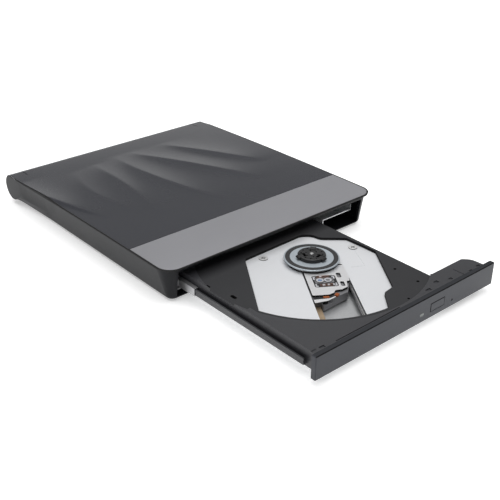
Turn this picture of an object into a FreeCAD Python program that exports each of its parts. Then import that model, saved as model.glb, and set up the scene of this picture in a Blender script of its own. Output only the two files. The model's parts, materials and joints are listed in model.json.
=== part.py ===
import FreeCAD, Part
import math
import os
from FreeCAD import Vector

# External disc drive with its tray pulled out, in millimetres.
# +Z is up and the table is z = 0. The front of the drive, where the tray comes out, looks along -Y.
# x = 0 is the middle of the casing, and y = 0 is midway between its front edge and its rear roll.

# Casing
case_side_margin = 11.2
case_front_margin = 7.8
case_rear_margin = 35.8
case_height = 20.9
foot_height = 1.0
side_taper = 5.3
front_taper = 4.7
corner_radius = 9.0
corner_radius_low = 3.7
edge_radius = 2.6
shell_wall = 1.8
shell_floor = 1.6
rim_height = 1.0
rim_width = 0.95
side_overhang = 0.8
front_overhang = 1.8
cover_gap = 0.15
pocket_count = 4
pocket_span = 130.0
pocket_rear_y = 8.0
pocket_top_z = 19.0
trim_depth = 32.2
trim_thickness = 0.5
roll_radius = 7.85
roll_centre_z = 11.1
roll_inset = 1.0
roll_neck = 9.0
roll_neck_z = 7.2
roll_foot_z = 3.6
flare_length = 40.0
sheet_end = 1.0
mouth_gap = 2.4
mouth_depth = 16.0
mouth_top_margin = 3.1

# Relief of the top, one curved crest per row: height above the sheet, then x at its rear, middle and
# front, then y at its rear and front, then the length of its steep side
crest_rows = [
    (0.85, 26.0, 41.0, 58.5, 60.0, -8.0, 5.0),
    (1.05, 1.0, 20.0, 40.5, 61.0, -29.0, 5.5),
    (1.05, -9.5, -9.5, 4.5, 62.0, -42.0, 6.0),
    (1.05, -27.0, -30.5, -36.5, 58.0, -27.0, 6.5),
    (0.55, -41.0, -50.5, -40.0, 56.0, -24.0, 6.0),
    (1.10, -77.0, -73.0, -61.5, 62.0, -14.0, 2.2),
]
crest_round = 1.4
crest_fade = 1.3
crest_far_slope = 13.0
relief_step = 4.0
relief_overlap = 3.0

# Feet and screws
foot_radius = 5.0
foot_recess = 0.6
foot_gap = 0.1
foot_from_front = 18.8
foot_from_rear = 27.8
foot_from_side = 21.0
post_radius = 3.2
post_from_side = 15.0
post_from_rear = 18.8
boss_height = 3.0
case_screw_radius = 1.0
case_screw_head_radius = 2.1
case_screw_head_height = 1.2
case_screw_length = 9.0

# Drive housing, folded from thin sheet
drive_depth = 126.0
drive_floor_z = 4.1
drive_top_z = 16.9
pan_sheet = 0.5
lid_sheet = 0.4
step_x = 41.0
step_z = 10.3
corner_tab = 6.5
small_screw_radius = 0.8
small_head_radius = 1.8
small_head_height = 0.4
deck_head_radius = 2.4
lid_screw_length = 1.5
rib_width = 2.0
root = 0.4
rib_places = [-45.0, -15.0, 15.0, 34.0]

# Slides between housing and tray
rail_sheet = 0.4
rail_bottom_z = 6.5
rail_height = 4.4
rail_depth = 2.5
rail_length = 97.4
rail_out = 13.8
slide_gap = 0.12
guide_gap = 0.2
guide_bar_top_z = 13.2
left_guide_front = 6.0
right_guide_front = 13.5

# Tray
tray_out = 96.2
bezel_gap = 0.5
tray_side_gap = 0.3
tray_right_x = 33.4
tray_rear_room = 4.7
tray_top_z = 14.2
tray_floor_z = 12.9
tray_floor_thickness = 1.0
tray_skirt = 1.4
tray_skirt_bottom_z = 5.4
disc_radius = 60.0
disc_clearance = 1.0
recess_overrun = 0.7
well_floor_width = 3.4
disc_front_margin = 5.9
tongue_wall = 0.8
tongue_floor = 0.8
tongue_front = 9.0
wing_depth = 15.7
wing_side_gap = 2.2
wing_bottom_z = 10.9
wing_skin = 1.5
floor_plate_sheet = 0.4
floor_plate_right_x = 28.2
pin_lane_left_x = 28.7
deck_margin = 1.6
deck_lug_angle = 32.0
sled_relief_z = 12.45
groove_depth = 0.5
peg_radius = 1.0

# Opening over the deck, from the spindle: x, y and corner radius; an arc cuts its front
deck_opening = [
    (-26.4, 22.5, 3.0),
    (14.9, 23.5, 6.5),
    (19.4, 19.6, 6.0),
    (20.4, 14.0, 4.0),
    (31.1, 4.7, 3.0),
    (32.0, -15.6, 3.0),
    (10.9, -45.9, 2.0),
    (3.4, -46.9, 3.0),
    (-10.0, -62.7, 0.0),
    (-62.0, -62.5, 0.0),
    (-62.0, -31.8, 0.0),
]

# Marks of the tray's rim and holes through its floor: middle x, distance behind the bezel's front
# face, width along x, depth along y
rim_notches = [
    (-54.0, 6.3, 3.0, 1.6),
    (-24.6, 5.6, 43.0, 0.5),
    (19.9, 6.9, 3.2, 1.8),
    (28.8, 9.2, 2.6, 2.0),
    (36.8, 6.6, 2.4, 1.6),
    (58.2, 5.8, 2.6, 1.2),
    (45.5, 7.8, 0.4, 7.8),
    (51.3, 5.0, 2.2, 1.4),
]
floor_holes = [
    (25.0, 32.5, 1.7, 1.5),
    (24.2, 16.9, 1.6, 1.6),
    (8.0, 9.3, 1.4, 1.4),
    (-58.6, 80.6, 1.9, 3.2),
    (-55.2, 64.8, 1.9, 4.0),
]

# Bezel
bezel_overlap = 0.2
bezel_height = 12.7
bezel_thickness = 2.7
bezel_bottom_z = 3.9
bezel_edge = 0.5
button_left_x = 13.6
button_width = 10.5
button_bottom_z = 7.35
button_height = 4.6
button_gap = 0.15
button_travel = 0.6
light_x = 7.3
light_width = 3.0
light_height = 1.6
light_z = 8.3
pin_hole_x = 30.4
pin_hole_z = 7.6
pin_hole_radius = 0.6
light_radius = 0.75
stem_width = 2.4
switch_back = 5.5
bezel_pegs = [(-50.0, 9.5), (-15.0, 9.5), (-50.0, 6.8), (27.0, 9.5)]
tray_board_front = 4.4

# Spindle, turntable and hub
spindle_front_room = 6.5
turntable_radius = 14.6
turntable_seat_z = 14.2
turntable_plate = 0.6
rotor_radius = 12.4
rotor_wall = 0.5
rotor_bottom_z = 8.9
ring_outer_radius = 13.9
ring_inner_radius = 11.4
hub_radius = 7.4
hub_top_z = 16.2
hub_pit_rows = [(5.6, 12, 0.45, 10.0), (3.2, 6, 0.42, 0.0)]
hub_pit_depth = 0.6
claw_count = 3
claw_width = 3.2
claw_reach = 1.2
claw_travel = 1.1
claw_gap = 0.12
claw_inner = 4.8
claw_turn = 40.0
claw_bottom_z = 14.7
shaft_radius = 1.0
shaft_gap = 0.05
sleeve_radius = 2.6
stator_inner_radius = 2.75
stator_radius = 11.4
stator_bottom_z = 9.0
stator_top_z = 11.0
stator_poles = 9

# Sled unit, in track coordinates: along the track from the spindle, and across it
track_angle = -122.9
deck_top_z = 11.4
deck_sheet = 0.5
deck_gap = 0.35
deck_hole_radius = 13.1
deck_mark_run = [(25.5, -7.0), (17.5, -21.1), (11.3, -17.5)]
grommet_radius = 2.0
slot_start = 4.4
slot_left = -7.3
slot_right = 15.4
base_z = 7.4
base_sheet = 0.8
rod_radius = 1.0
rod_z = 8.6
right_rod_across = 15.6
left_rod_across = -10.2
right_rod_start = 3.0
right_rod_past = 1.0
left_rod_start = 12.6
left_rod_past = 16.4
inner_clear_radius = 13.8
window_start = 16.0
window_end = 27.0
window_left = -3.6
window_right = 8.4
lens_holder_bottom_z = 9.0
lens_places = [0.0, 4.1]
flex_thickness = 0.12
lens_along = 20.6
sled_top_z = 10.6
sled_bottom_z = 6.0
cover_top_z = 11.9
cover_sheet = 0.3
step_height = 0.4
bracket_top_z = 11.3
tab_top_z = 11.5

# Small openings of the sled's cover: middle along and across, length, width
cover_cuts = [
    (16.4, 10.5, 4.6, 2.1),
    (25.0, 10.6, 4.4, 2.0),
]
lens_radius = 1.6
lens_top_z = 12.1
focus_travel = 0.3
screw_across = -14.6
screw_radius = 1.1
screw_pitch = 3.0
motor_radius = 2.6
motor_length = 9.0
motor_past = 5.0
screw_start = 14.0
journal_radius = 0.5

# Latch
latch_pin_x = 30.3
latch_pin_back = 24.0
latch_pin_radius = 0.8
latch_pin_top_z = 7.8
latch_pivot_x = 26.2
latch_pivot_back = 15.4
latch_swing = 16.0
latch_pivot_radius = 0.8
lever_thickness = 1.2
lever_bottom_z = 6.3

# Boards
board_thickness = 0.8
main_board_z = 11.3
bridge_board_z = 11.0
bridge_front_gap = 4.2
port_width = 8.9
port_height = 3.2
port_length = 7.4
port_from_side = 29.0
port_recess = 0.4
bridge_left = 18.0
bridge_right = 10.0
board_left_x = 42.5
board_side_gap = 1.3
board_front_gap = 17.0
board_rear_gap = 2.0
board_z_top = 8.0
connector_height = 2.9
connector_left_x = 43.5
connector_past = 1.6
chip_height = 1.0
chip_places = [(45.0, 10.0, 10.0, 12.0), (46.0, 32.0, 9.0, 14.0), (47.0, 54.0, 7.0, 7.0), (46.0, 72.0, 5.0, 6.0)]
flex_left_x = 8.0
flex_width = 16.0
flex_fold_y = -68.0
flex_tray_back = 120.0
flex_cross_z = 10.7
board_post_pitch = 18.0
board_post_back = 17.0

# Places that follow from the sizes above
disc_recess_radius = disc_radius + disc_clearance
spindle_back = disc_recess_radius + spindle_front_room
opening_arc_radius = disc_recess_radius - well_floor_width
tray_left_x = recess_overrun - disc_recess_radius
drive_half = rail_depth + tray_side_gap + guide_gap + pan_sheet - tray_left_x
wall_x = drive_half - pan_sheet
case_depth = case_front_margin + drive_depth + case_rear_margin
front_y = -case_depth / 2
rear_y = case_depth / 2
half_width = drive_half + case_side_margin
mouth_half_width = drive_half + mouth_gap
foot_front_y = front_y + foot_from_front
foot_rear_y = rear_y - foot_from_rear
foot_x = half_width - foot_from_side
post_x = half_width - post_from_side
post_y = rear_y - post_from_rear
port_x = half_width - port_from_side
right_rod_end = disc_recess_radius + right_rod_past
left_rod_end = disc_recess_radius + left_rod_past
motor_start = disc_recess_radius + motor_past
bridge_left_x = port_x - bridge_left
drive_front_y = front_y + case_front_margin
tray_length = drive_depth - tray_rear_room
wing_right_x = drive_half - wing_side_gap
bezel_width = 2 * (drive_half + bezel_overlap)
board_right_x = drive_half - board_side_gap
connector_right_x = wall_x - corner_tab - 0.4
bottom_z = foot_height
floor_top_z = bottom_z + shell_floor
roll_y = rear_y - roll_radius
sheet_end_y = roll_y + sheet_end
trim_front_y = front_y + rim_width
trim_rear_y = trim_front_y + trim_depth
sheet_drop = case_height - roll_centre_z - math.sqrt(roll_radius ** 2 - sheet_end ** 2)
ceiling_z = drive_top_z + 1.0
drive_rear_y = drive_front_y + drive_depth
board_front_y = drive_front_y + board_front_gap
board_rear_y = drive_rear_y - board_rear_gap
bridge_front_y = drive_rear_y + bridge_front_gap
board_post_y = bridge_front_y + board_post_back
board_post_places = [port_x - board_post_pitch / 2, port_x + board_post_pitch / 2]
pan_top_z = drive_floor_z + pan_sheet
bezel_y = drive_front_y - bezel_gap - bezel_thickness - tray_out
tray_y = bezel_y + bezel_thickness
tray_rear_y = tray_y + tray_length
tray_under_z = tray_floor_z - tray_floor_thickness
spindle_y = bezel_y + spindle_back
rail_top_z = rail_bottom_z + rail_height
rail_front_y = drive_front_y - rail_out
rail_left_x = -wall_x + guide_gap
rail_right_x = tray_right_x + rail_depth + 0.4
tray_rear_back = bezel_thickness + tray_length
latch_pin_y = bezel_y + tray_out + latch_pin_back
flex_tray_y = bezel_y + flex_tray_back
stem_x = button_left_x + button_width / 2
stem_z = button_bottom_z + button_height / 2
chassis_top_z = base_z + base_sheet
step_top_z = rod_z + step_height
connector_y = drive_rear_y + connector_past
deck_lug_radius = disc_recess_radius - 1.5
deck_screw_places = [
    (-17.1, spindle_y + 18.5), (27.7, spindle_y - 3.4),
    (-deck_lug_radius * math.cos(math.radians(deck_lug_angle)),
     spindle_y - deck_lug_radius * math.sin(math.radians(deck_lug_angle)))]
tongue_bottom_z = rail_bottom_z + rail_sheet + slide_gap
tongue_top_z = rail_top_z - rail_sheet - slide_gap
deck_under_z = deck_top_z - deck_sheet


# Simple solids
def box(x0, y0, z0, x1, y1, z1):
    return Part.makeBox(x1 - x0, y1 - y0, z1 - z0, Vector(x0, y0, z0))


def rod(radius, x, y, z0, z1):
    return Part.makeCylinder(radius, z1 - z0, Vector(x, y, z0))


def bar(radius, start, end):
    path = Vector(*end) - Vector(*start)
    return Part.makeCylinder(radius, path.Length, Vector(*start), path)


def outline(points):
    """Closed flat wire through corners (x, y, radius), each corner rounded by its radius."""
    corners = [Vector(p[0], p[1], 0) for p in points]
    count = len(corners)
    ends = []
    for i in range(count):
        here = corners[i]
        to_last = (corners[i - 1] - here).normalize()
        to_next = (corners[(i + 1) % count] - here).normalize()
        radius = points[i][2]
        if radius == 0:
            ends.append((here, None, here))
            continue
        half = to_last.getAngle(to_next) / 2
        reach = radius / math.tan(half)
        middle = (to_last + to_next).normalize() * (radius / math.sin(half) - radius)
        ends.append((here + to_last * reach, here + middle, here + to_next * reach))
    edges = []
    for i in range(count):
        start, middle, end = ends[i]
        if middle is not None:
            edges.append(Part.Arc(start, middle, end).toShape())
        following = ends[(i + 1) % count][0]
        if (following - end).Length > 1e-6:
            edges.append(Part.LineSegment(end, following).toShape())
    return Part.Wire(edges)


def prism(points, z0, z1):
    wire = outline([p if len(p) == 3 else (p[0], p[1], 0) for p in points])
    wire.translate(Vector(0, 0, z0))
    return Part.Face(wire).extrude(Vector(0, 0, z1 - z0))


def slab(x0, y0, x1, y1, radius, z0, z1):
    return prism([(x0, y0, radius), (x1, y0, radius), (x1, y1, radius), (x0, y1, radius)], z0, z1)


def side_prism(points, x0, x1):
    """Solid with the outline (y, z) seen from the side, from x0 to x1."""
    wire = outline([p if len(p) == 3 else (p[0], p[1], 0) for p in points])
    solid = Part.Face(wire).extrude(Vector(0, 0, x1 - x0))
    solid.rotate(Vector(0, 0, 0), Vector(1, 1, 1), 120)
    solid.translate(Vector(x0, 0, 0))
    return solid


def joined(*shapes):
    solids = list(shapes)
    return solids[0].multiFuse(solids[1:]).removeSplitter()


def group(*shapes):
    return Part.makeCompound(list(shapes))


def on_tray(back):
    """Place along Y of a point of the tray, from its distance behind the bezel's front face."""
    return bezel_y + back


def on_track(shape):
    """Moves a shape from track coordinates (along, across, z) to its place on the tray."""
    placed = shape.copy()
    placed.rotate(Vector(0, 0, 0), Vector(0, 0, 1), track_angle)
    placed.translate(Vector(0, spindle_y, 0))
    return placed


def turned(shape, degrees):
    placed = shape.copy()
    placed.rotate(Vector(0, spindle_y, 0), Vector(0, 0, 1), degrees)
    return placed


# Casing
def top_fall(y):
    """How far the sheet of the top has dropped at y: a parabola from the trim plate to the roll."""
    share = max(0.0, (y - trim_rear_y) / (sheet_end_y - trim_rear_y))
    return sheet_drop * share ** 2


def crest_height(row, x, y):
    """One ridge: steep towards -X, gentle towards +X, fading at its ends."""
    height, x_rear, x_middle, x_front, y_rear, y_front, steep = row
    t = (y_rear - y) / (y_rear - y_front)
    if t <= 0 or t >= 1:
        return 0.0
    x_pull = 2 * x_middle - (x_rear + x_front) / 2
    x_crest = (1 - t) ** 2 * x_rear + 2 * t * (1 - t) * x_pull + t * t * x_front
    side = x - x_crest
    fade = math.sin(math.pi * t) ** crest_fade
    if side >= 0:
        return height * fade * math.exp(-((side / crest_far_slope) ** 1.5))
    fall = math.sqrt(side ** 2 + crest_round ** 2) - crest_round
    return height * fade * math.exp(-fall / steep)


def top_z(x, y):
    """Height of the casing's top: the falling sheet with its ridges."""
    relief = sum(crest_height(row, x, y) for row in crest_rows)
    return case_height - top_fall(y) + relief


def side_x(z, under):
    """Half width of the tapered casing at height z; under is 1 for the part below the cover's overhanging rim."""
    share = (z - bottom_z) / (case_height - bottom_z)
    return half_width - side_taper * (1 - share) - under * side_overhang * share


def case_section(z, inset, under):
    """Rounded rectangle of the tapered casing at height z, moved in by inset; under is 1 below the cover's rim."""
    share = (z - bottom_z) / (case_height - bottom_z)
    half = side_x(z, under) - inset
    front = front_y + front_taper * (1 - share) + under * front_overhang * share + inset
    radius = max(0.5, corner_radius_low + (corner_radius - corner_radius_low) * share - inset)
    wire = outline([(-half, front, radius), (half, front, radius), (half, roll_y, 0), (-half, roll_y, 0)])
    wire.translate(Vector(0, 0, z))
    return wire


def tapered_block(z0, z1, inset, under=1):
    return Part.makeLoft([case_section(z0, inset, under), case_section(z1, inset, under)], True, True)


def flare_section(y, low_x, middle, high_x, high_z):
    """Section across the side wall at y, bent at its middle point, with its bottom edge rounded."""
    inner_x = half_width - flare_length
    wire = outline([
        (inner_x, floor_top_z, 0), (low_x, bottom_z, edge_radius), (*middle, 0),
        (high_x, high_z, 0), (inner_x, high_z, 0)])
    wire.rotate(Vector(0, 0, 0), Vector(1, 0, 0), 90)
    wire.translate(Vector(0, y, 0))
    return wire


def flare(high_z, under):
    """The side wall turning upright on its way to the end of the roll, above the roll's underside."""
    upright = half_width - roll_inset
    low_x = side_x(bottom_z, under)
    sections = [
        flare_section(roll_y - flare_length, low_x, (side_x(roll_neck_z, under), roll_neck_z),
                      side_x(high_z, under), high_z),
        flare_section(roll_y - roll_neck, low_x, (upright, roll_neck_z), upright, high_z),
        flare_section(roll_y, low_x, (upright, roll_foot_z), upright, high_z)]
    right = Part.makeLoft(sections, True, True)
    left = right.mirror(Vector(0, 0, 0), Vector(1, 0, 0))
    return right, left


def roll():
    """Full-width roll along the rear edge."""
    half = half_width - roll_inset
    return bar(roll_radius, (-half, roll_y, roll_centre_z), (half, roll_y, roll_centre_z))


def raw_body(under):
    """The casing before its top is cut to shape; under is 1 for the part below the cover's rim."""
    block = tapered_block(bottom_z, case_height + 1, 0, under)
    low = [e for e in block.Edges if e.BoundBox.ZMax < bottom_z + 0.01 and e.BoundBox.YMin < roll_y - 1]
    block = block.makeFillet(edge_radius, low)
    return joined(block, roll(), *flare(case_height + 1, under))


def above_sheet(offset):
    """Everything above the falling sheet of the top, moved down by offset."""
    count = 7
    run = [trim_rear_y + (sheet_end_y - trim_rear_y) * i / (count - 1) for i in range(count)]
    curve = Part.BSplineCurve()
    curve.interpolate([Vector(0, y, case_height - top_fall(y) - offset) for y in run])
    flat = case_height - offset
    back = flat - sheet_drop
    lift = case_height + 20
    far = half_width + 10
    corners = [
        Vector(0, sheet_end_y, back), Vector(0, rear_y + 10, back), Vector(0, rear_y + 10, lift),
        Vector(0, front_y - 10, lift), Vector(0, front_y - 10, flat), Vector(0, trim_rear_y, flat)]
    edges = [Part.LineSegment(a, b).toShape() for a, b in zip(corners, corners[1:])]
    face = Part.Face(Part.Wire([curve.toShape()] + edges))
    solid = face.extrude(Vector(2 * far, 0, 0))
    solid.translate(Vector(-far, 0, 0))
    return solid


def above_relief():
    """Everything above the ridged top behind the trim plate."""
    start = trim_rear_y - relief_overlap
    end = sheet_end_y + relief_overlap
    far = half_width + relief_overlap
    x_count = int(2 * far / relief_step) + 1
    y_count = int((end - start) / relief_step) + 1
    rows = []
    for i in range(x_count):
        x = -far + 2 * far * i / (x_count - 1)
        column = []
        for j in range(y_count):
            y = start + (end - start) * j / (y_count - 1)
            column.append(Vector(x, y, top_z(x, y)))
        rows.append(column)
    surface = Part.BSplineSurface()
    surface.interpolate(rows)
    return surface.toShape().extrude(Vector(0, 0, 12))


def hollow():
    """The space inside the casing, up to the underside of the cover."""
    inner = tapered_block(floor_top_z, ceiling_z, shell_wall)
    radius = roll_radius - shell_wall
    half = half_width - roll_inset - shell_wall
    tube = bar(radius, (-half, roll_y, roll_centre_z), (half, roll_y, roll_centre_z))
    neck = box(-half, roll_y - 6, roll_centre_z - radius + 1.5, half, roll_y, ceiling_z - 1)
    space = joined(inner, tube, neck)
    return space.common(box(-half_width, front_y, floor_top_z, half_width, rear_y, ceiling_z))


def lower_shell():
    mouth = box(-mouth_half_width, front_y - 5, floor_top_z,
                mouth_half_width, front_y + mouth_depth, case_height - mouth_top_margin)
    above_lip = tapered_block(ceiling_z - 0.01, case_height + 2, shell_wall)
    recesses = [rod(foot_radius + foot_gap, side * foot_x, y, bottom_z - 1, bottom_z + foot_recess)
                for side in (-1, 1) for y in (foot_front_y, foot_rear_y)]
    bosses = [rod(post_radius, side * post_x, post_y, floor_top_z - root, floor_top_z + boss_height)
              for side in (-1, 1)]
    heads = [rod(case_screw_head_radius + 0.2, side * post_x, post_y, bottom_z - 1,
                 bottom_z + case_screw_head_height) for side in (-1, 1)]
    holes = [rod(case_screw_radius + 0.15, side * post_x, post_y, bottom_z - 1,
                 floor_top_z + boss_height + 1) for side in (-1, 1)]
    pilots = [rod(small_screw_radius, x, board_post_y, floor_top_z, bridge_board_z + 1)
              for x in board_post_places]
    shell = raw_body(1).cut(above_sheet(rim_height))
    shell = shell.cut([hollow(), above_lip, mouth] + recesses)
    shell = joined(shell, *bosses, *shell_ribs())
    return shell.cut(heads + holes + pilots + [port_space()])


def shell_ribs():
    """Ribs that carry the drive and its step, the stop behind it, and the posts of the small board."""
    ribs = []
    for x in rib_places:
        ribs.append(box(x, drive_front_y + 10, floor_top_z - root, x + rib_width, drive_rear_y - 8, drive_floor_z))
    ribs.append(box(-50, drive_rear_y, floor_top_z - root, 20, drive_rear_y + rib_width, drive_floor_z + 6))
    cradle_x = step_x + 4
    ribs.append(box(cradle_x, drive_front_y + 12, floor_top_z - root,
                    cradle_x + rib_width, drive_rear_y - 8, step_z - pan_sheet))
    for x in board_post_places:
        post = rod(1.8, x, board_post_y, floor_top_z - root, bridge_board_z)
        ribs.append(post)
    return ribs


def port_space():
    low = bridge_board_z + board_thickness
    half = port_width / 2 + 0.3
    return box(port_x - half, roll_y, low - 0.3, port_x + half, rear_y + 5, low + port_height + 0.3)


def top_cover():
    plate = raw_body(0).common(above_sheet(rim_height))
    inner = tapered_block(ceiling_z, case_height - 0.5, shell_wall + cover_gap)
    inner = inner.common(box(-half_width, front_y, ceiling_z, half_width, roll_y - 2, case_height))
    plate = joined(plate, inner)
    plate = plate.cut(above_relief())
    flat_top = box(-half_width - 5, front_y - 5, case_height,
                   half_width + 5, trim_rear_y - relief_overlap, case_height + 5)
    plate = plate.cut(flat_top).cut(trim_recess(0))
    for i in range(pocket_count):
        x = -pocket_span / 2 + pocket_span * i / pocket_count
        plate = plate.cut(box(x, front_y + 8, ceiling_z - 1, x + pocket_span / pocket_count - rib_width,
                              pocket_rear_y, pocket_top_z))
    for x in (-drive_half / 2, drive_half / 2):
        plate = joined(plate, box(x, drive_front_y + 12, drive_top_z, x + rib_width,
                                  drive_rear_y - 12, ceiling_z + 0.5))
    for side in (-1, 1):
        post = rod(post_radius, side * post_x, post_y, floor_top_z + boss_height + 0.1, ceiling_z + 0.5)
        pilot = rod(case_screw_radius, side * post_x, post_y, floor_top_z, ceiling_z - 2)
        plate = joined(plate, post).cut(pilot)
    return plate


def trim_recess(gap):
    half = half_width - rim_width - gap
    radius = corner_radius - rim_width
    return prism([
        (-half, trim_front_y + gap, radius), (half, trim_front_y + gap, radius),
        (half, trim_rear_y - gap, 0.4), (-half, trim_rear_y - gap, 0.4)],
        case_height - trim_thickness, case_height + (0 if gap else 5))


def trim_plate():
    plate = trim_recess(0.06)
    top = [e for e in plate.Edges if e.BoundBox.ZMin > case_height - 0.01]
    return plate.makeFillet(0.2, top)


def rubber_feet():
    feet = []
    for side in (-1, 1):
        for y in (foot_front_y, foot_rear_y):
            foot = rod(foot_radius, side * foot_x, y, 0, bottom_z + foot_recess)
            low = [e for e in foot.Edges if e.BoundBox.ZMax < 0.01]
            feet.append(foot.makeFillet(0.4, low))
    return group(*feet)


def casing_screws():
    screws = []
    for side in (-1, 1):
        x = side * post_x
        head_top = bottom_z + case_screw_head_height
        head = rod(case_screw_head_radius, x, post_y, bottom_z + 0.2, head_top)
        shank = rod(case_screw_radius, x, post_y, bottom_z + 0.2, head_top + case_screw_length)
        cross = joined(box(x - 1.3, post_y - 0.25, bottom_z, x + 1.3, post_y + 0.25, bottom_z + 0.8),
                       box(x - 0.25, post_y - 1.3, bottom_z, x + 0.25, post_y + 1.3, bottom_z + 0.8))
        screws.append(joined(head, shank).cut(cross))
    return group(*screws)


def front_prism(points, y0, y1):
    """Solid with the outline (x, z) seen from the front, from y0 to y1."""
    wire = outline([p if len(p) == 3 else (p[0], p[1], 0) for p in points])
    wire.rotate(Vector(0, 0, 0), Vector(1, 0, 0), 90)
    wire.translate(Vector(0, y0, 0))
    return Part.Face(wire).extrude(Vector(0, y1 - y0, 0))


def tray_box(x0, back0, z0, x1, back1, z1):
    return box(x0, on_tray(back0), z0, x1, on_tray(back1), z1)


def inside_tray(gap):
    """The room between the skirts of the tray, moved in by gap."""
    return tray_box(tray_left_x + tray_skirt + gap, bezel_thickness + tray_skirt + gap, 0,
                    tray_right_x - tray_skirt - gap, tray_rear_back - tray_skirt - gap, case_height)


def track_box(along0, across0, z0, along1, across1, z1):
    return on_track(box(along0, across0, z0, along1, across1, z1))


def track_bar(radius, across, z, along0, along1):
    return on_track(bar(radius, (along0, across, z), (along1, across, z)))


def small_screw(x, y, seat_z, length, head_radius=small_head_radius):
    """Small flat-headed screw with a cross slot; its head rests on seat_z and it points down."""
    head_top = seat_z + small_head_height
    head = rod(head_radius, x, y, seat_z, head_top)
    shank = rod(small_screw_radius, x, y, seat_z - length, seat_z)
    long_half = head_radius * 0.6
    cut_z = head_top - small_head_height * 0.6
    cross = joined(box(x - long_half, y - 0.2, cut_z, x + long_half, y + 0.2, head_top + 1),
                   box(x - 0.2, y - long_half, cut_z, x + 0.2, y + long_half, head_top + 1))
    return joined(head, shank).cut(cross)


# Drive housing and slides
def lid_screw_places():
    x = wall_x - corner_tab / 2
    return [(side * x, y) for side in (-1, 1)
            for y in (drive_front_y + corner_tab / 2, drive_rear_y - pan_sheet - corner_tab / 2)]


def drive_housing():
    top = drive_top_z - lid_sheet
    inner_step = step_x - pan_sheet
    pan = front_prism([
        (-drive_half, top), (-drive_half, drive_floor_z), (step_x, drive_floor_z),
        (step_x, step_z - pan_sheet), (drive_half, step_z - pan_sheet), (drive_half, top),
        (wall_x, top), (wall_x, step_z), (inner_step, step_z), (inner_step, pan_top_z),
        (-wall_x, pan_top_z), (-wall_x, top)], drive_front_y, drive_rear_y)
    back_low = box(-wall_x, drive_rear_y - pan_sheet, pan_top_z, inner_step, drive_rear_y, top)
    back_high = box(inner_step, drive_rear_y - pan_sheet, step_z, wall_x, drive_rear_y, top)
    back_high = back_high.cut(box(step_x + 1, drive_rear_y - 2, step_z + 0.2,
                                  wall_x - 0.8, drive_rear_y + 1, top - 0.7))
    parts = [pan, back_low, back_high]
    for x, y in lid_screw_places():
        half = corner_tab / 2
        tab = box(x - half, y - half, top - pan_sheet, x + half, y + half, top)
        parts.append(tab.cut(rod(small_screw_radius, x, y, top - 1, top + 1)))
    parts.append(rod(latch_pin_radius, latch_pin_x, latch_pin_y, pan_top_z, latch_pin_top_z))
    for x in (board_left_x + 2, board_right_x - 2):
        for y in (board_front_y + 4, board_rear_y - 12):
            parts.append(rod(1.5, x, y, step_z, main_board_z))
    return joined(*parts)


def drive_lid():
    top = drive_top_z - lid_sheet
    lid = slab(-drive_half, drive_front_y, drive_half, drive_rear_y, 1.0, top, drive_top_z)
    for x, y in lid_screw_places():
        lid = lid.cut(rod(small_screw_radius + 0.1, x, y, top - 1, drive_top_z + 1))
    return lid


def lid_screws():
    return group(*[small_screw(x, y, drive_top_z, lid_screw_length) for x, y in lid_screw_places()])


def left_guide():
    x1 = -wall_x + rail_depth - 0.3
    y0 = drive_front_y + left_guide_front
    y1 = drive_rear_y - 1.0
    high = box(-wall_x, y0, rail_top_z + guide_gap, x1, y1, guide_bar_top_z)
    low = box(-wall_x, y0, pan_top_z, x1, y1, rail_bottom_z - guide_gap / 2)
    link = box(-wall_x, y1 - rail_depth, pan_top_z, x1, y1, guide_bar_top_z)
    return joined(high, low, link)


def right_guide():
    y0 = drive_front_y + right_guide_front
    y1 = drive_rear_y - 1.0
    lip_x = tray_right_x + 0.7
    inner_step = step_x - pan_sheet
    block = box(rail_right_x + guide_gap, y0, pan_top_z, inner_step, y1, guide_bar_top_z)
    high = box(lip_x, y0, rail_top_z + guide_gap, inner_step, y1, guide_bar_top_z)
    low = box(lip_x, y0, pan_top_z, inner_step, y1, rail_bottom_z - guide_gap / 2)
    link = box(lip_x, y1 - rail_depth, pan_top_z, inner_step, y1, guide_bar_top_z)
    return joined(block, high, low, link)


def rail(web_x, toward):
    """C section of thin sheet, its web at web_x and its lips pointing toward the tray."""
    tip_x = web_x + toward * rail_depth
    inner_x = web_x + toward * rail_sheet
    low = rail_bottom_z + rail_sheet
    high = rail_top_z - rail_sheet
    section = [
        (web_x, rail_bottom_z), (tip_x, rail_bottom_z), (tip_x, low), (inner_x, low),
        (inner_x, high), (tip_x, high), (tip_x, rail_top_z), (web_x, rail_top_z)]
    return front_prism(section, rail_front_y, rail_front_y + rail_length)


def left_rail():
    return rail(rail_left_x, 1)


def right_rail():
    return rail(rail_right_x, -1)


# Tray
def deck_region(grow, z0, z1):
    """Opening over the deck as a solid, its outline grown by grow."""
    face = Part.Face(outline([(x, spindle_y + y, radius) for x, y, radius in deck_opening]))
    circle = Part.Face(Part.Wire(Part.makeCircle(opening_arc_radius, Vector(0, spindle_y, 0))))
    face = face.common(circle).Faces[0]
    if grow:
        face = face.makeOffset2D(grow).Faces[0]
    face.translate(Vector(0, 0, z0))
    return face.extrude(Vector(0, 0, z1 - z0))


def wing():
    corners = [
        (tray_right_x - 1, 2.7, 0), (wing_right_x, 2.7, 0), (wing_right_x - 0.4, 12.0, 6),
        (wing_right_x - 4.1, wing_depth, 2.5), (tray_right_x - 1, wing_depth, 0)]
    solid = prism([(x, on_tray(back), radius) for x, back, radius in corners], wing_bottom_z, tray_top_z)
    under = tray_box(tray_right_x - 1, 2.7 + tray_skirt, wing_bottom_z - 1, wing_right_x - 5,
                     wing_depth - tray_skirt, tray_top_z - wing_skin)
    return solid.cut(under)


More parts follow.
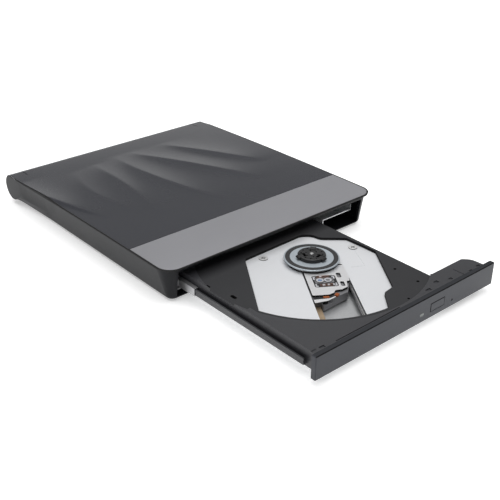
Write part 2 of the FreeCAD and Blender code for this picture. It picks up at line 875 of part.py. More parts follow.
def tongue(inner_x, outer_x, front):
    """Channel along one side of the tray that runs inside its rail, with its outer wall ribbed."""
    side = 1 if outer_x > inner_x else -1
    wall_in = outer_x - side * tongue_wall
    low = min(inner_x - side, outer_x), max(inner_x - side, outer_x)
    floor = tray_box(low[0], front, tongue_bottom_z, low[1], tray_rear_back,
                     tongue_bottom_z + tongue_floor)
    wall = tray_box(min(wall_in, outer_x), front, tongue_bottom_z, max(wall_in, outer_x),
                    tray_rear_back, tongue_top_z)
    return joined(floor, wall)


def rim_marks():
    """Shallow grooves and small recesses of the tray's rim, cut down from above."""
    cuts = []
    for x, back, wide, deep in rim_notches:
        cuts.append(tray_box(x - wide / 2, back - deep / 2, tray_top_z - groove_depth,
                             x + wide / 2, back + deep / 2, tray_top_z + 2))
    return cuts


def tray():
    low = tray_under_z
    body = tray_box(tray_left_x, 2.7, low, tray_right_x, tray_rear_back, tray_top_z)
    shape = joined(body, wing())
    recess = rod(disc_recess_radius, 0, spindle_y, tray_floor_z, tray_top_z + 2)
    recess = recess.cut(tray_box(-80, 0, low, 80, disc_front_margin, tray_top_z + 3))
    shape = shape.cut(recess)
    shape = joined(shape, tray_box(tray_left_x, 6.9, tray_top_z - 1, tray_left_x + 3.1, 50.4,
                                   tray_top_z + 0.3))
    sides = [
        tray_box(tray_left_x, 2.7, tray_skirt_bottom_z, tray_left_x + tray_skirt, tray_rear_back, low),
        tray_box(tray_right_x - tray_skirt, 2.7, tray_skirt_bottom_z, tray_right_x, tray_rear_back, low),
        tray_box(tray_left_x, 2.7, tray_skirt_bottom_z, tray_right_x, 2.7 + tray_skirt, low),
        tray_box(tray_left_x, tray_rear_back - tray_skirt, tray_skirt_bottom_z,
                 tray_right_x, tray_rear_back, low)]
    pads = deck_region(deck_margin, deck_top_z, low)
    pads = pads.common(tray_box(tray_left_x, 2.7, 0, tray_right_x, tray_rear_back, 20))
    left_tongue = tongue(tray_left_x, rail_left_x + rail_sheet + slide_gap, tongue_front)
    right_tongue = tongue(tray_right_x, rail_right_x - rail_sheet - slide_gap, wing_depth + 1)
    pivot = rod(latch_pivot_radius, latch_pivot_x, on_tray(latch_pivot_back), lever_bottom_z - 0.3, low)
    pads = pads.cut(rod(deck_head_radius + 0.3, *deck_screw_places[2], 0, 20))
    shape = joined(shape, pads, left_tongue, right_tongue, pivot, *sides)
    shape = shape.cut(deck_region(0, deck_top_z - 1, tray_top_z + 2))
    relief = track_box(opening_arc_radius - 12, slot_left - 0.7, deck_top_z - 0.5,
                       left_rod_end + 2, slot_right + 0.6, sled_relief_z)
    inside = tray_box(tray_left_x + tray_skirt, 2.7 + tray_skirt, 0, tray_right_x, tray_rear_back, 20)
    shape = shape.cut(relief.common(inside))
    lane = tray_box(pin_lane_left_x, tray_rear_back - 3, 0, tray_right_x - tray_skirt,
                    tray_rear_back + 1, latch_pin_top_z + 0.6)
    shape = shape.cut(lane)
    shape = shape.cut(bar(light_radius, (light_x, on_tray(2), light_z), (light_x, on_tray(6), light_z)))
    shape = shape.cut(tray_box(stem_x - stem_width / 2 - 0.2, 2, stem_z - stem_width / 2 - 0.2,
                               stem_x + stem_width / 2 + 0.2, 6, stem_z + stem_width / 2 + 0.2))
    for x, z in bezel_pegs:
        shape = shape.cut(bar(peg_radius + 0.05, (x, on_tray(2), z), (x, on_tray(6), z)))
    shape = shape.cut(bar(pin_hole_radius, (pin_hole_x, on_tray(2), pin_hole_z),
                          (pin_hole_x, on_tray(6), pin_hole_z)))
    for x, back, wide, deep in floor_holes:
        radius = min(wide, deep) / 2 - 0.01
        shape = shape.cut(slab(x - wide / 2, on_tray(back - deep / 2), x + wide / 2,
                               on_tray(back + deep / 2), radius, low - 1, tray_top_z + 2))
    return shape.cut(Part.makeCompound(rim_marks()))


def tray_bottom_plate():
    z1 = tray_skirt_bottom_z
    plate = slab(tray_left_x + 0.2, on_tray(3.2), floor_plate_right_x, on_tray(tray_rear_back - 0.3),
                 2.0, z1 - floor_plate_sheet, z1)
    return plate


# Bezel, eject button, light
def bezel():
    y0 = bezel_y
    solid = box(-bezel_width / 2, y0, bezel_bottom_z, bezel_width / 2, y0 + bezel_thickness,
                bezel_bottom_z + bezel_height)
    front = [e for e in solid.Edges if e.BoundBox.YMax < y0 + 0.01]
    corners = [e for e in solid.Edges if e.BoundBox.YLength > 1]
    solid = solid.makeFillet(bezel_edge, front + corners)
    window = box(button_left_x - button_gap, y0 - 1, button_bottom_z - button_gap,
                 button_left_x + button_width + button_gap, y0 + 5,
                 button_bottom_z + button_height + button_gap)
    solid = solid.cut(window)
    solid = solid.cut(bar(pin_hole_radius, (pin_hole_x, y0 - 1, pin_hole_z), (pin_hole_x, y0 + 5, pin_hole_z)))
    solid = solid.cut(light_shape(0.04))
    pegs = [bar(peg_radius, (x, y0 + 1, z), (x, on_tray(2.7 + tray_skirt), z)) for x, z in bezel_pegs]
    return joined(solid, *pegs)


def light_shape(gap):
    half_w = light_width / 2 + gap
    half_h = light_height / 2 + gap
    shape = front_prism([
        (light_x - half_w, light_z - half_h, half_h * 0.8), (light_x + half_w, light_z - half_h, half_h * 0.8),
        (light_x + half_w, light_z + half_h, half_h * 0.8), (light_x - half_w, light_z + half_h, half_h * 0.8)],
        bezel_y - gap, bezel_y + bezel_thickness + gap)
    return shape


def light_pipe():
    stem = bar(light_radius - 0.05, (light_x, bezel_y + bezel_thickness - 0.5, light_z),
               (light_x, on_tray(tray_board_front), light_z))
    return joined(light_shape(0), stem)


def eject_button():
    face = box(button_left_x, bezel_y - 0.1, button_bottom_z, button_left_x + button_width,
               bezel_y + 1.9, button_bottom_z + button_height)
    front = [e for e in face.Edges if e.BoundBox.YMax < bezel_y]
    face = face.makeFillet(0.35, front)
    half = stem_width / 2
    stem = box(stem_x - half, bezel_y + 1.5, stem_z - half, stem_x + half,
               on_tray(switch_back - button_travel), stem_z + half)
    return joined(face, stem)


def eject_switch():
    half = stem_width / 2
    case = tray_box(stem_x - 2, switch_back, board_z_top, stem_x + 2, switch_back + 3.5, stem_z + half)
    return case


def tray_board():
    return tray_box(5.0, tray_board_front, board_z_top - board_thickness, tray_right_x - tray_skirt - 0.2,
                    12.8, board_z_top)


def latch_lever():
    x, y = latch_pivot_x, on_tray(latch_pivot_back)
    z1 = lever_bottom_z + lever_thickness
    nose_back = latch_pin_back + latch_pin_radius + 0.25
    arm = tray_box(x - 1.2, latch_pivot_back, lever_bottom_z, x + 1.2, nose_back + 1.4, z1)
    nose = tray_box(x, nose_back, lever_bottom_z, latch_pin_x + 0.7, nose_back + 1.4, z1)
    tail = tray_box(x - 5.5, latch_pivot_back - 1.0, lever_bottom_z, x, latch_pivot_back + 1.0, z1)
    disc = rod(2.0, x, y, lever_bottom_z, z1)
    lever = joined(arm, nose, tail, disc)
    lever = lever.cut(rod(latch_pivot_radius + 0.05, x, y, lever_bottom_z - 1, z1 + 1))
    lever.rotate(Vector(x, y, 0), Vector(0, 0, 1), latch_swing)
    return lever


def latch_solenoid():
    body = tray_box(8.0, 15.5, tray_skirt_bottom_z, 18.0, 21.0, 9.4)
    core = bar(0.9, (17.5, on_tray(18.0), 7.0), (20.2, on_tray(18.0), 7.0))
    return joined(body, core)


# Deck and chassis
def deck_plate():
    plate = deck_region(deck_margin, deck_under_z, deck_top_z)
    plate = joined(plate, rod(deck_head_radius + 1.4, *deck_screw_places[2], deck_under_z, deck_top_z))
    plate = plate.common(inside_tray(0.3))
    plate = plate.cut(rod(deck_hole_radius, 0, spindle_y, 0, 20))
    slot = on_track(slab(slot_start, slot_left, disc_recess_radius + 10, slot_right, 2.0, 0, 20))
    plate = plate.cut(slot)
    for x, y in deck_screw_places:
        plate = plate.cut(rod(small_screw_radius + 0.05, x, y, 0, 20))
    return plate.cut(Part.makeCompound(deck_marks()))


def deck_marks():
    """Pressed line of the deck, as a shallow groove."""
    grooves = []
    for start, end in zip(deck_mark_run, deck_mark_run[1:]):
        a = Vector(start[0], spindle_y + start[1], 0)
        b = Vector(end[0], spindle_y + end[1], 0)
        path = b - a
        groove = box(0, -0.25, deck_top_z - 0.15, path.Length, 0.25, deck_top_z + 1)
        groove.rotate(Vector(0, 0, 0), Vector(0, 0, 1), math.degrees(math.atan2(path.y, path.x)))
        groove.translate(a)
        grooves.append(groove)
    return grooves


def deck_screws():
    length = deck_top_z - base_z
    return group(*[small_screw(x, y, deck_top_z, length, deck_head_radius) for x, y in deck_screw_places])


def grommets():
    rings = []
    for x, y in deck_screw_places:
        ring = rod(grommet_radius, x, y, chassis_top_z, deck_under_z)
        rings.append(ring.cut(rod(small_screw_radius + 0.05, x, y, 0, 20)))
    return group(*rings)


def chassis():
    top = chassis_top_z
    left_end = left_rod_end + 0.6
    right_end = right_rod_end + 0.5
    plates = [
        track_box(-15, -29, base_z, 12.5, 27, top),
        track_box(12, -29, base_z, left_end, -18, top),
        track_box(12, 18.2, base_z, right_end, 25, top),
        track_box(left_end - 2, -19, base_z, left_end, -8.6, top),
        track_box(right_end - 2.1, 14.3, base_z, right_end, 19, top)]
    shape = joined(*plates).common(inside_tray(1.4))
    shape = shape.cut(tray_box(floor_plate_right_x, 0, 0, tray_right_x, tray_rear_back, case_height))
    sled_room = track_box(4, slot_left - 1.3, 0, 14, right_rod_across + 2, 20)
    shape = shape.cut(sled_room.cut(rod(inner_clear_radius - 0.5, 0, spindle_y, 0, 20)))
    x, y = deck_screw_places[1]
    lugs = [
        rod(1.25, x, y, base_z, top),
        track_box(right_rod_start - 0.6, right_rod_across - 1.6, base_z, right_rod_start + 1.9,
                  right_rod_across + 1.8, rod_z + 1.6),
        track_box(12, left_rod_across - 1.8, base_z, 14, left_rod_across + 1.8, rod_z + 1.6),
        track_box(right_end - 2.1, right_rod_across - 1.3, base_z, right_end - 0.1,
                  right_rod_across + 1.6, rod_z + 1.6),
        track_box(left_end - 2, left_rod_across - 1.6, base_z, left_end, left_rod_across + 1.6, rod_z + 1.6),
        track_box(screw_start - 2, -18.5, base_z, screw_start - 0.3, screw_across + 1.3, rod_z + 1.5),
        track_box(motor_start - 1.5, -18.5, base_z, motor_start, screw_across + 2.4, rod_z + 2.4)]
    shape = joined(shape, *lugs)
    shape = shape.common(inside_tray(0.7))
    shape = shape.cut(guide_rods())
    shape = shape.cut(track_bar(journal_radius + 0.05, screw_across, rod_z, 10, motor_start + 1))
    for x, y in deck_screw_places:
        shape = shape.cut(rod(small_screw_radius, x, y, 0, top + 0.01))
    return shape


def guide_rods():
    return group(track_bar(rod_radius, right_rod_across, rod_z, right_rod_start, right_rod_end),
                 track_bar(rod_radius, left_rod_across, rod_z, left_rod_start, left_rod_end))


def lead_screw():
    body = track_bar(screw_radius, screw_across, rod_z, screw_start, motor_start - 1.7)
    journal = track_bar(journal_radius, screw_across, rod_z, screw_start - 2, motor_start)
    return joined(body, journal)


def sled_motor():
    return track_bar(motor_radius, screw_across, rod_z, motor_start, motor_start + motor_length)


# Spindle and hub
def spindle_base():
    plate = rod(10.5, 0, spindle_y, chassis_top_z, chassis_top_z + 0.5)
    sleeve = rod(sleeve_radius, 0, spindle_y, chassis_top_z, stator_top_z + 0.6)
    return joined(plate, sleeve).cut(rod(shaft_radius + shaft_gap, 0, spindle_y, chassis_top_z + 0.1, 20))


def stator():
    middle = rod(stator_inner_radius + 2, 0, spindle_y, stator_bottom_z, stator_top_z)
    middle = middle.cut(rod(sleeve_radius, 0, spindle_y, 0, 20))
    parts = [middle]
    for i in range(stator_poles):
        pole = box(stator_inner_radius + 1, spindle_y - 0.9, stator_bottom_z + 0.3,
                   stator_radius, spindle_y + 0.9, stator_top_z - 0.3)
        coil = box(6.2, spindle_y - 1.5, stator_bottom_z, 10.2, spindle_y + 1.5, stator_top_z)
        parts.append(turned(pole, 360.0 / stator_poles * i))
        parts.append(turned(coil, 360.0 / stator_poles * i))
    return joined(*parts)


def spindle_shaft():
    return rod(shaft_radius, 0, spindle_y, chassis_top_z + 0.2, hub_top_z + 0.1)


def rotor_cup():
    top = turntable_seat_z - turntable_plate
    cup = rod(rotor_radius, 0, spindle_y, rotor_bottom_z, top)
    cup = cup.cut(rod(rotor_radius - rotor_wall, 0, spindle_y, 0, top - rotor_wall))
    return cup.cut(rod(shaft_radius, 0, spindle_y, 0, 20))


def turntable():
    plate = rod(turntable_radius, 0, spindle_y, turntable_seat_z - turntable_plate, turntable_seat_z)
    edges = [e for e in plate.Edges if e.BoundBox.ZMin > turntable_seat_z - 0.01]
    plate = plate.makeFillet(0.3, edges)
    plate = plate.cut(ring_space())
    return plate.cut(rod(shaft_radius, 0, spindle_y, 0, 20))


def ring_space():
    ring = rod(ring_outer_radius, 0, spindle_y, turntable_seat_z - 0.4, turntable_seat_z + 0.2)
    return ring.cut(rod(ring_inner_radius, 0, spindle_y, 0, 20))


def grip_ring():
    return ring_space()


def hub():
    body = rod(hub_radius, 0, spindle_y, turntable_seat_z, hub_top_z)
    edges = [e for e in body.Edges if e.BoundBox.ZMin > hub_top_z - 0.01]
    body = body.makeFillet(0.6, edges)
    pits = []
    for ring, count, radius, phase in hub_pit_rows:
        for i in range(count):
            pit = rod(radius, ring, spindle_y, hub_top_z - hub_pit_depth, 20)
            pits.append(turned(pit, phase + 360.0 / count * i))
    body = body.cut(pits)
    for i in range(claw_count):
        half = claw_width / 2 + claw_gap
        slot = box(claw_inner - claw_travel - 0.2, spindle_y - half, claw_bottom_z - claw_gap,
                   hub_radius + 1, spindle_y + half, hub_top_z + 1)
        body = body.cut(turned(slot, claw_turn + 360.0 / claw_count * i))
    return body.cut(rod(shaft_radius, 0, spindle_y, 0, 20))


def claw(number):
    half = claw_width / 2
    tip = hub_radius + claw_reach
    y = spindle_y
    profile = [
        (claw_inner, claw_bottom_z), (tip - 0.6, claw_bottom_z), (tip, claw_bottom_z + 0.5),
        (tip - 0.5, hub_top_z - 0.4), (tip - 1.2, hub_top_z - 0.15), (claw_inner, hub_top_z - 0.15)]
    shape = front_prism(profile, y - half, y + half)
    return turned(shape, claw_turn + 360.0 / claw_count * number)


# Sled
sled_cover_outline = [
    (6.3, 15.2, 0), (8.0, -6.6, 0), (34.3, -6.6, 0.8), (34.3, 1.6, 0.6), (33.0, 4.4, 0.6), (30.6, 5.6, 0.5),
    (30.2, 9.2, 0.8), (28.2, 12.4, 0.6), (22.8, 13.2, 0.4), (22.3, 14.8, 0.3), (19.0, 15.2, 0)]
sled_block_outline = [
    (6.3, 15.2, 0), (8.0, -6.6, 0), (37.0, -6.6, 0.6), (36.2, 3.2, 1.0), (31.0, 11.9, 1.0), (24.4, 14.0, 1.0),
    (19.0, 15.2, 0)]


def sled_base():
    block = prism(sled_block_outline, sled_bottom_z + 0.6, sled_top_z)
    low = prism([(20, -2.7, 0), (40.5, -2.7, 1.0), (30.4, 11.9, 1.0), (20, 13.3, 0)],
                sled_bottom_z, step_top_z)
    left_ears = [
        box(15.0, left_rod_across - 1.5, rod_z - 1.5, 20.0, -6.0, rod_z + 1.6),
        box(29.0, left_rod_across - 1.5, rod_z - 1.5, 34.0, -6.0, rod_z + 1.6)]
    right_ear = box(15.0, 14.0, rod_z - 1.6, 22.0, right_rod_across + 1.7, rod_z + 1.6)
    follower = box(15.6, screw_across + screw_radius + 0.06, rod_z - 0.9, 19.4,
                   left_rod_across - 1.2, rod_z + 0.9)
    shape = joined(block, low, right_ear, follower, *left_ears)
    shape = shape.cut(rod(inner_clear_radius, 0, 0, 0, 20))
    pocket = box(window_start, window_left, lens_holder_bottom_z - focus_travel - 0.1, window_end,
                 window_right, 20)
    shape = shape.cut(pocket)
    shape = shape.cut(bar(rod_radius + 0.03, (5, left_rod_across, rod_z), (60, left_rod_across, rod_z)))
    fork = box(5, right_rod_across, rod_z - rod_radius - 0.05, 60, 30, rod_z + rod_radius + 0.05)
    round_end = bar(rod_radius + 0.05, (5, right_rod_across, rod_z), (60, right_rod_across, rod_z))
    shape = shape.cut(fork).cut(round_end)
    return on_track(shape)


def sled_cover():
    outer = Part.Face(outline(sled_cover_outline))
    inner = outer.makeOffset2D(-cover_sheet).Faces[0]
    cap = outer.extrude(Vector(0, 0, cover_top_z - sled_top_z))
    room = inner.extrude(Vector(0, 0, cover_top_z - sled_top_z - cover_sheet))
    cap = cap.cut(room)
    cap.translate(Vector(0, 0, sled_top_z))
    cap = cap.cut(rod(inner_clear_radius, 0, 0, 0, 20))
    window = slab(window_start, window_left, window_end, window_right, 1.0, 0, 20)
    cap = cap.cut(window)
    for along, across, long, wide in cover_cuts:
        cap = cap.cut(slab(along - long / 2, across - wide / 2, along + long / 2, across + wide / 2,
                           min(long, wide) * 0.3, sled_top_z, 20))
    return on_track(cap)


def lens_holder():
    gap = 0.35
    body = slab(window_start + gap, window_left + gap, window_end - gap, window_right - gap, 0.8,
                lens_holder_bottom_z, lens_top_z - 0.35)
    for across in lens_places:
        seat = rod(lens_radius + 0.7, lens_along, across, lens_top_z - 0.8, lens_top_z)
        body = joined(body, seat)
    for across in lens_places:
        body = body.cut(rod(lens_radius, lens_along, across, lens_top_z - 0.9, 20))
    return on_track(body)


def lenses():
    made = []
    for across in lens_places:
        drum = rod(lens_radius, lens_along, across, lens_top_z - 0.9, lens_top_z - 0.2)
        ball_radius = 4.0
        rise = math.sqrt(ball_radius ** 2 - (lens_radius - 0.2) ** 2)
        ball = Part.makeSphere(ball_radius, Vector(lens_along, across, lens_top_z - 0.25 - rise))
        dome = ball.common(rod(lens_radius, lens_along, across, lens_top_z - 0.5, lens_top_z + 1))
        made.append(on_track(joined(drum, dome)))
    return group(*made)


def sled_bracket():
    """Narrow strip across the sled's outer end, on a foot that stands on the sled's low step."""
    strip = prism([(37.3, -6.6, 0.3), (40.3, -6.6, 0.3), (39.0, 0.0, 1.0), (36.9, 3.4, 0.3), (35.6, 4.9, 0.2),
                   (35.2, 4.4, 0.2), (36.8, 1.4, 1.0)], bracket_top_z - cover_sheet, bracket_top_z)
    foot = box(37.5, -2.2, step_top_z, 38.2, 0.2, bracket_top_z - cover_sheet / 2)
    return on_track(joined(strip, foot))


def flex_tabs():
    """Two small blocks of folded flex on the sled, in the gap between its cover and the bracket."""
    first = slab(34.9, -1.6, 36.4, 1.5, 0.4, sled_top_z, tab_top_z)
    second = prism([(32.3, 5.6, 0.3), (34.3, 4.2, 0.3), (35.3, 5.6, 0.3), (33.4, 7.2, 0.3)], sled_top_z, tab_top_z)
    return on_track(group(first, second))


def sled_flex():
    """Ribbon from the sled's outer end, folded back over the bottom plate to the chassis."""
    t = flex_thickness
    z0 = tray_skirt_bottom_z
    z1 = sled_bottom_z + 0.6
    low = box(15, -6.6, z0, 51.6, -2.8, z0 + t)
    high = box(31.0, -6.6, z1 - t, 51.6, -2.8, z1)
    middle_z = (z0 + z1) / 2
    radius = (z1 - z0) / 2
    bend = bar(radius, (51.6, -6.6, middle_z), (51.6, -2.8, middle_z))
    bend = bend.cut(bar(radius - t, (51.6, -7, middle_z), (51.6, -2, middle_z)))
    bend = bend.common(box(51.6, -8, z0 - 1, 53, 0, z1 + 1))
    return on_track(joined(low, high, bend))


def main_flex():
    """Folded ribbon under the tray: moving end on the tray, fixed end behind the housing's floor."""
    t = flex_thickness
    x0, x1 = flex_left_x, flex_left_x + flex_width
    low_z = pan_top_z
    high_z = tray_skirt_bottom_z - floor_plate_sheet - t
    wall_y = drive_rear_y - pan_sheet - t
    low = box(x0, flex_fold_y, low_z, x1, wall_y + t, low_z + t)
    high = box(x0, flex_fold_y, high_z, x1, flex_tray_y, high_z + t)
    fold = box(x0, flex_fold_y - t, low_z, x1, flex_fold_y, high_z + t)
    riser = box(x0, wall_y, low_z, x1, wall_y + t, flex_cross_z + 3.5)
    cross = box(x0, wall_y, flex_cross_z, connector_left_x, wall_y + t, flex_cross_z + 3.5)
    return joined(low, high, fold, riser, cross)


# Boards and port
def main_board():
    return box(board_left_x, board_front_y, main_board_z, board_right_x, board_rear_y,
               main_board_z + board_thickness)


def board_chips():
    top = main_board_z + board_thickness
    return group(*[box(x, board_front_y + y, top, x + wide, board_front_y + y + deep, top + chip_height)
                   for x, y, wide, deep in chip_places])


def drive_connector():
    top = main_board_z + board_thickness
    return box(connector_left_x, drive_rear_y - 9, top, connector_right_x, connector_y,
               top + connector_height)


def bridge_board():
    x1 = port_x + bridge_right
    return slab(bridge_left_x, bridge_front_y, x1, roll_y + 5, 0.8, bridge_board_z,
                bridge_board_z + board_thickness).cut(Part.makeCompound([
                    rod(small_screw_radius + 0.1, x, board_post_y, 0, 20) for x in board_post_places]))


def bridge_chip():
    top = bridge_board_z + board_thickness
    return box(port_x - 14, bridge_front_y + 8, top, port_x - 7, bridge_front_y + 15, top + chip_height)


def bridge_connector():
    low = bridge_board_z + board_thickness
    top = main_board_z + board_thickness + connector_height
    body = box(connector_left_x, connector_y, low, port_x + bridge_right - 0.5, bridge_front_y + 4, top)
    return body


def bridge_screws():
    top = bridge_board_z + board_thickness
    return group(*[small_screw(x, board_post_y, top, 5.0) for x in board_post_places])


def port_shell():
    low = bridge_board_z + board_thickness
    half = port_width / 2
    radius = port_height / 2 - 0.01
    y1 = rear_y - port_recess
    points = [(port_x - half, low, radius), (port_x + half, low, radius),
              (port_x + half, low + port_height, radius), (port_x - half, low + port_height, radius)]
    inner = [(port_x - half + 0.3, low + 0.3, radius - 0.3), (port_x + half - 0.3, low + 0.3, radius - 0.3),
             (port_x + half - 0.3, low + port_height - 0.3, radius - 0.3),
             (port_x - half + 0.3, low + port_height - 0.3, radius - 0.3)]
    return front_prism(points, y1 - port_length, y1).cut(front_prism(inner, y1 - port_length + 1, y1 + 1))


def port_tongue():
    middle = bridge_board_z + board_thickness + port_height / 2
    y1 = rear_y - port_recess
    return box(port_x - 3.3, y1 - port_length + 1, middle - 0.35, port_x + 3.3, y1 - 1.2, middle + 0.35)


nodes = {
    "lower_shell": lower_shell,
    "top_cover": top_cover,
    "trim_plate": trim_plate,
    "rubber_feet": rubber_feet,
    "casing_screws": casing_screws,
    "drive_housing": drive_housing,
    "drive_lid": drive_lid,
    "lid_screws": lid_screws,
    "left_guide": left_guide,
    "right_guide": right_guide,
    "left_rail": left_rail,
    "right_rail": right_rail,
    "tray": tray,
    "tray_bottom_plate": tray_bottom_plate,
    "bezel": bezel,
    "light_pipe": light_pipe,
    "eject_button": eject_button,
    "eject_switch": eject_switch,
    "tray_board": tray_board,
    "latch_lever": latch_lever,
    "latch_solenoid": latch_solenoid,
    "deck_plate": deck_plate,
    "deck_screws": deck_screws,
    "grommets": grommets,
    "chassis": chassis,
    "guide_rods": guide_rods,
    "lead_screw": lead_screw,
    "sled_motor": sled_motor,
    "spindle_base": spindle_base,
    "stator": stator,
    "spindle_shaft": spindle_shaft,
    "rotor_cup": rotor_cup,
    "turntable": turntable,
    "grip_ring": grip_ring,
    "hub": hub,
    "sled_base": sled_base,
    "sled_cover": sled_cover,
    "lens_holder": lens_holder,
    "lenses": lenses,
    "sled_bracket": sled_bracket,
    "flex_tabs": flex_tabs,
    "sled_flex": sled_flex,
    "main_flex": main_flex,
    "main_board": main_board,
    "board_chips": board_chips,
    "drive_connector": drive_connector,
    "bridge_board": bridge_board,
    "bridge_chip": bridge_chip,
    "bridge_connector": bridge_connector,
    "bridge_screws": bridge_screws,
    "port_shell": port_shell,
    "port_tongue": port_tongue,
}

os.makedirs("parts", exist_ok=True)
for name, make in nodes.items():
    shape = make()
    shape.exportStep(os.path.join("parts", name + ".step"))
    print(name, shape.isValid(), len(shape.Solids), round(shape.Volume, 1))
for number in range(claw_count):
    shape = claw(number)
    shape.exportStep(os.path.join("parts", "claw_" + str(number + 1) + ".step"))
    print("claw", number + 1, shape.isValid(), round(shape.Volume, 2))
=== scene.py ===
import bpy
import bmesh
import json
import math
import numpy as np
from mathutils import Matrix

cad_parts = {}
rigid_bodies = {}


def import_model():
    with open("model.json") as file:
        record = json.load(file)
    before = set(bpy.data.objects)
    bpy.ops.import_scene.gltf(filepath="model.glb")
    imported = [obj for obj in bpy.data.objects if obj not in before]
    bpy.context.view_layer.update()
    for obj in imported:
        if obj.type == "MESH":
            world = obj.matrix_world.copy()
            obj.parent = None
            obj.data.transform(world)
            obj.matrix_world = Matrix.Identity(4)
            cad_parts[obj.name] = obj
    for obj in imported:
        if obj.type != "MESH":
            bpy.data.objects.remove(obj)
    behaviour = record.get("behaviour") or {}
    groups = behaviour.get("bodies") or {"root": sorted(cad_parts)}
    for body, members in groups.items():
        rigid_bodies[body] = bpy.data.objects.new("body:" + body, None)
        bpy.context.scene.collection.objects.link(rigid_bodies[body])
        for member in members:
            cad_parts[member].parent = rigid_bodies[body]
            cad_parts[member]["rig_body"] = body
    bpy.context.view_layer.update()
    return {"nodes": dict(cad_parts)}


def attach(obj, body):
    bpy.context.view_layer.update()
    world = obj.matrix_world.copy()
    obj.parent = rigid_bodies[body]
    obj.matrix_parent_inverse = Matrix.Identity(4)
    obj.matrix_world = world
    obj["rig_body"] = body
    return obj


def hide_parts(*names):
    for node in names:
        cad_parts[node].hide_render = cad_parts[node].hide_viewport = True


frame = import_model()
nodes = frame["nodes"]
mm = 0.001


# Camera, lights and world

# The camera's place in metres, its three axes in the part's frame, and its lens and sensor in millimetres
viewSettings = {
    "place": (-0.2840, -0.3844, 0.2309),
    "right": (0.75457601, -0.65617638, 0.00689879),
    "up": (0.30726885, 0.36259686, 0.87983485),
    "back": (-0.57982833, -0.66178249, 0.47522946),
    "lens": 62.43, "sensor": 36.0, "clipStart": 0.01,
}


def addCamera(s):
    # The axes are the columns of the camera's turn
    cam = bpy.data.cameras.new("photoCamera")
    cam.lens = s["lens"]
    cam.sensor_width = s["sensor"]
    cam.clip_start = s["clipStart"]
    obj = bpy.data.objects.new("photoCamera", cam)
    axes = Matrix((s["right"], s["up"], s["back"])).transposed().to_4x4()
    obj.matrix_world = Matrix.Translation(s["place"]) @ axes
    bpy.context.scene.collection.objects.link(obj)
    bpy.context.scene.camera = obj


# Metres and watts: one wide light overhead, and low strips all round whose reflections draw the ripples
lightSettings = {
    "overhead": {"place": (0.0, 0.0, 2.2), "aim": (0.0, 0.0, 0.0), "size": (3.2, 3.2), "power": 71.0},
    "rear": {"place": (0.99, 1.13, 0.36), "aim": (0.0, 0.0, 0.0), "size": (2.2, 0.34), "power": 1.6},
    "rearLeft": {"place": (-1.13, 0.99, 0.36), "aim": (0.0, 0.0, 0.0), "size": (2.2, 0.34), "power": 1.6},
    "frontLeft": {"place": (-0.99, -1.13, 0.36), "aim": (0.0, 0.0, 0.0), "size": (2.2, 0.34), "power": 1.0},
    "frontRight": {"place": (1.13, -0.99, 0.36), "aim": (0.0, 0.0, 0.0), "size": (2.2, 0.34), "power": 1.0},
    "rearHigh": {"place": (0.95, 1.09, 0.94), "aim": (0.0, 0.0, 0.0), "size": (2.2, 0.5), "power": 0.6},
    "front": {"place": (-1.0, -1.2, 0.9), "aim": (0.0, -0.05, 0.0), "size": (0.9, 0.6), "power": 1.0},
}


def addLight(name, s):
    # The light's own z axis points from its aim to its place, and its long side lies level
    lamp = bpy.data.lights.new(name, "AREA")
    lamp.shape = "RECTANGLE"
    lamp.size, lamp.size_y = s["size"]
    lamp.energy = s["power"]
    obj = bpy.data.objects.new(name, lamp)
    away = np.array(s["place"], float) - np.array(s["aim"], float)
    away = away / np.linalg.norm(away)
    upright = abs(away[2]) > 0.999
    side = np.array((1.0, 0.0, 0.0)) if upright else np.cross((0, 0, 1), away)
    side = side / np.linalg.norm(side)
    axes = Matrix((side.tolist(), np.cross(away, side).tolist(), away.tolist())).transposed().to_4x4()
    obj.matrix_world = Matrix.Translation(s["place"]) @ axes
    bpy.context.scene.collection.objects.link(obj)


worldSettings = {"colour": (1.0, 1.0, 1.0, 1.0), "ambient": 0.10, "backdrop": 1.0}


def setWorld(s):
    # The world lights the part by its ambient strength and is seen behind the floor at its backdrop strength
    world = bpy.context.scene.world or bpy.data.worlds.new("studio")
    bpy.context.scene.world = world
    world.use_nodes = True
    tree = world.node_tree
    background = tree.nodes["Background"]
    background.inputs["Color"].default_value = s["colour"]
    strength = tree.nodes.new("ShaderNodeMapRange")
    tree.links.new(tree.nodes.new("ShaderNodeLightPath").outputs["Is Camera Ray"], strength.inputs["Value"])
    strength.inputs["To Min"].default_value = s["ambient"]
    strength.inputs["To Max"].default_value = s["backdrop"]
    tree.links.new(strength.outputs["Result"], background.inputs["Strength"])


addCamera(viewSettings)
for lightName, lightValues in lightSettings.items():
    addLight(lightName, lightValues)
setWorld(worldSettings)
bpy.context.scene.view_settings.view_transform = "Standard"
print("stage: camera and lights")


# Shader groups, each built once

def newGroup(name, takes, gives):
    group = bpy.data.node_groups.new(name, "ShaderNodeTree")
    for label, kind, value in takes:
        socket = group.interface.new_socket(label, in_out="INPUT", socket_type=kind)
        socket.default_value = value
    for label, kind in gives:
        group.interface.new_socket(label, in_out="OUTPUT", socket_type=kind)
    return group, group.nodes.new("NodeGroupInput"), group.nodes.new("NodeGroupOutput")


def feed(tree, value, socket):
    # A number becomes the socket's value, anything else is linked to it
    if isinstance(value, (int, float)):
        socket.default_value = value
    else:
        tree.links.new(value, socket)


def mathNode(tree, kind, a, b):
    node = tree.nodes.new("ShaderNodeMath")
    node.operation = kind
    feed(tree, a, node.inputs[0])
    feed(tree, b, node.inputs[1])
    return node.outputs[0]


# Detail and roughness of each noise
noiseSettings = {
    "fine": (2.0, 0.6), "patch": (4.0, 0.5), "lines": (3.0, 0.6), "smudge": (6.0, 0.65), "dust": (1.0, 0.4),
}


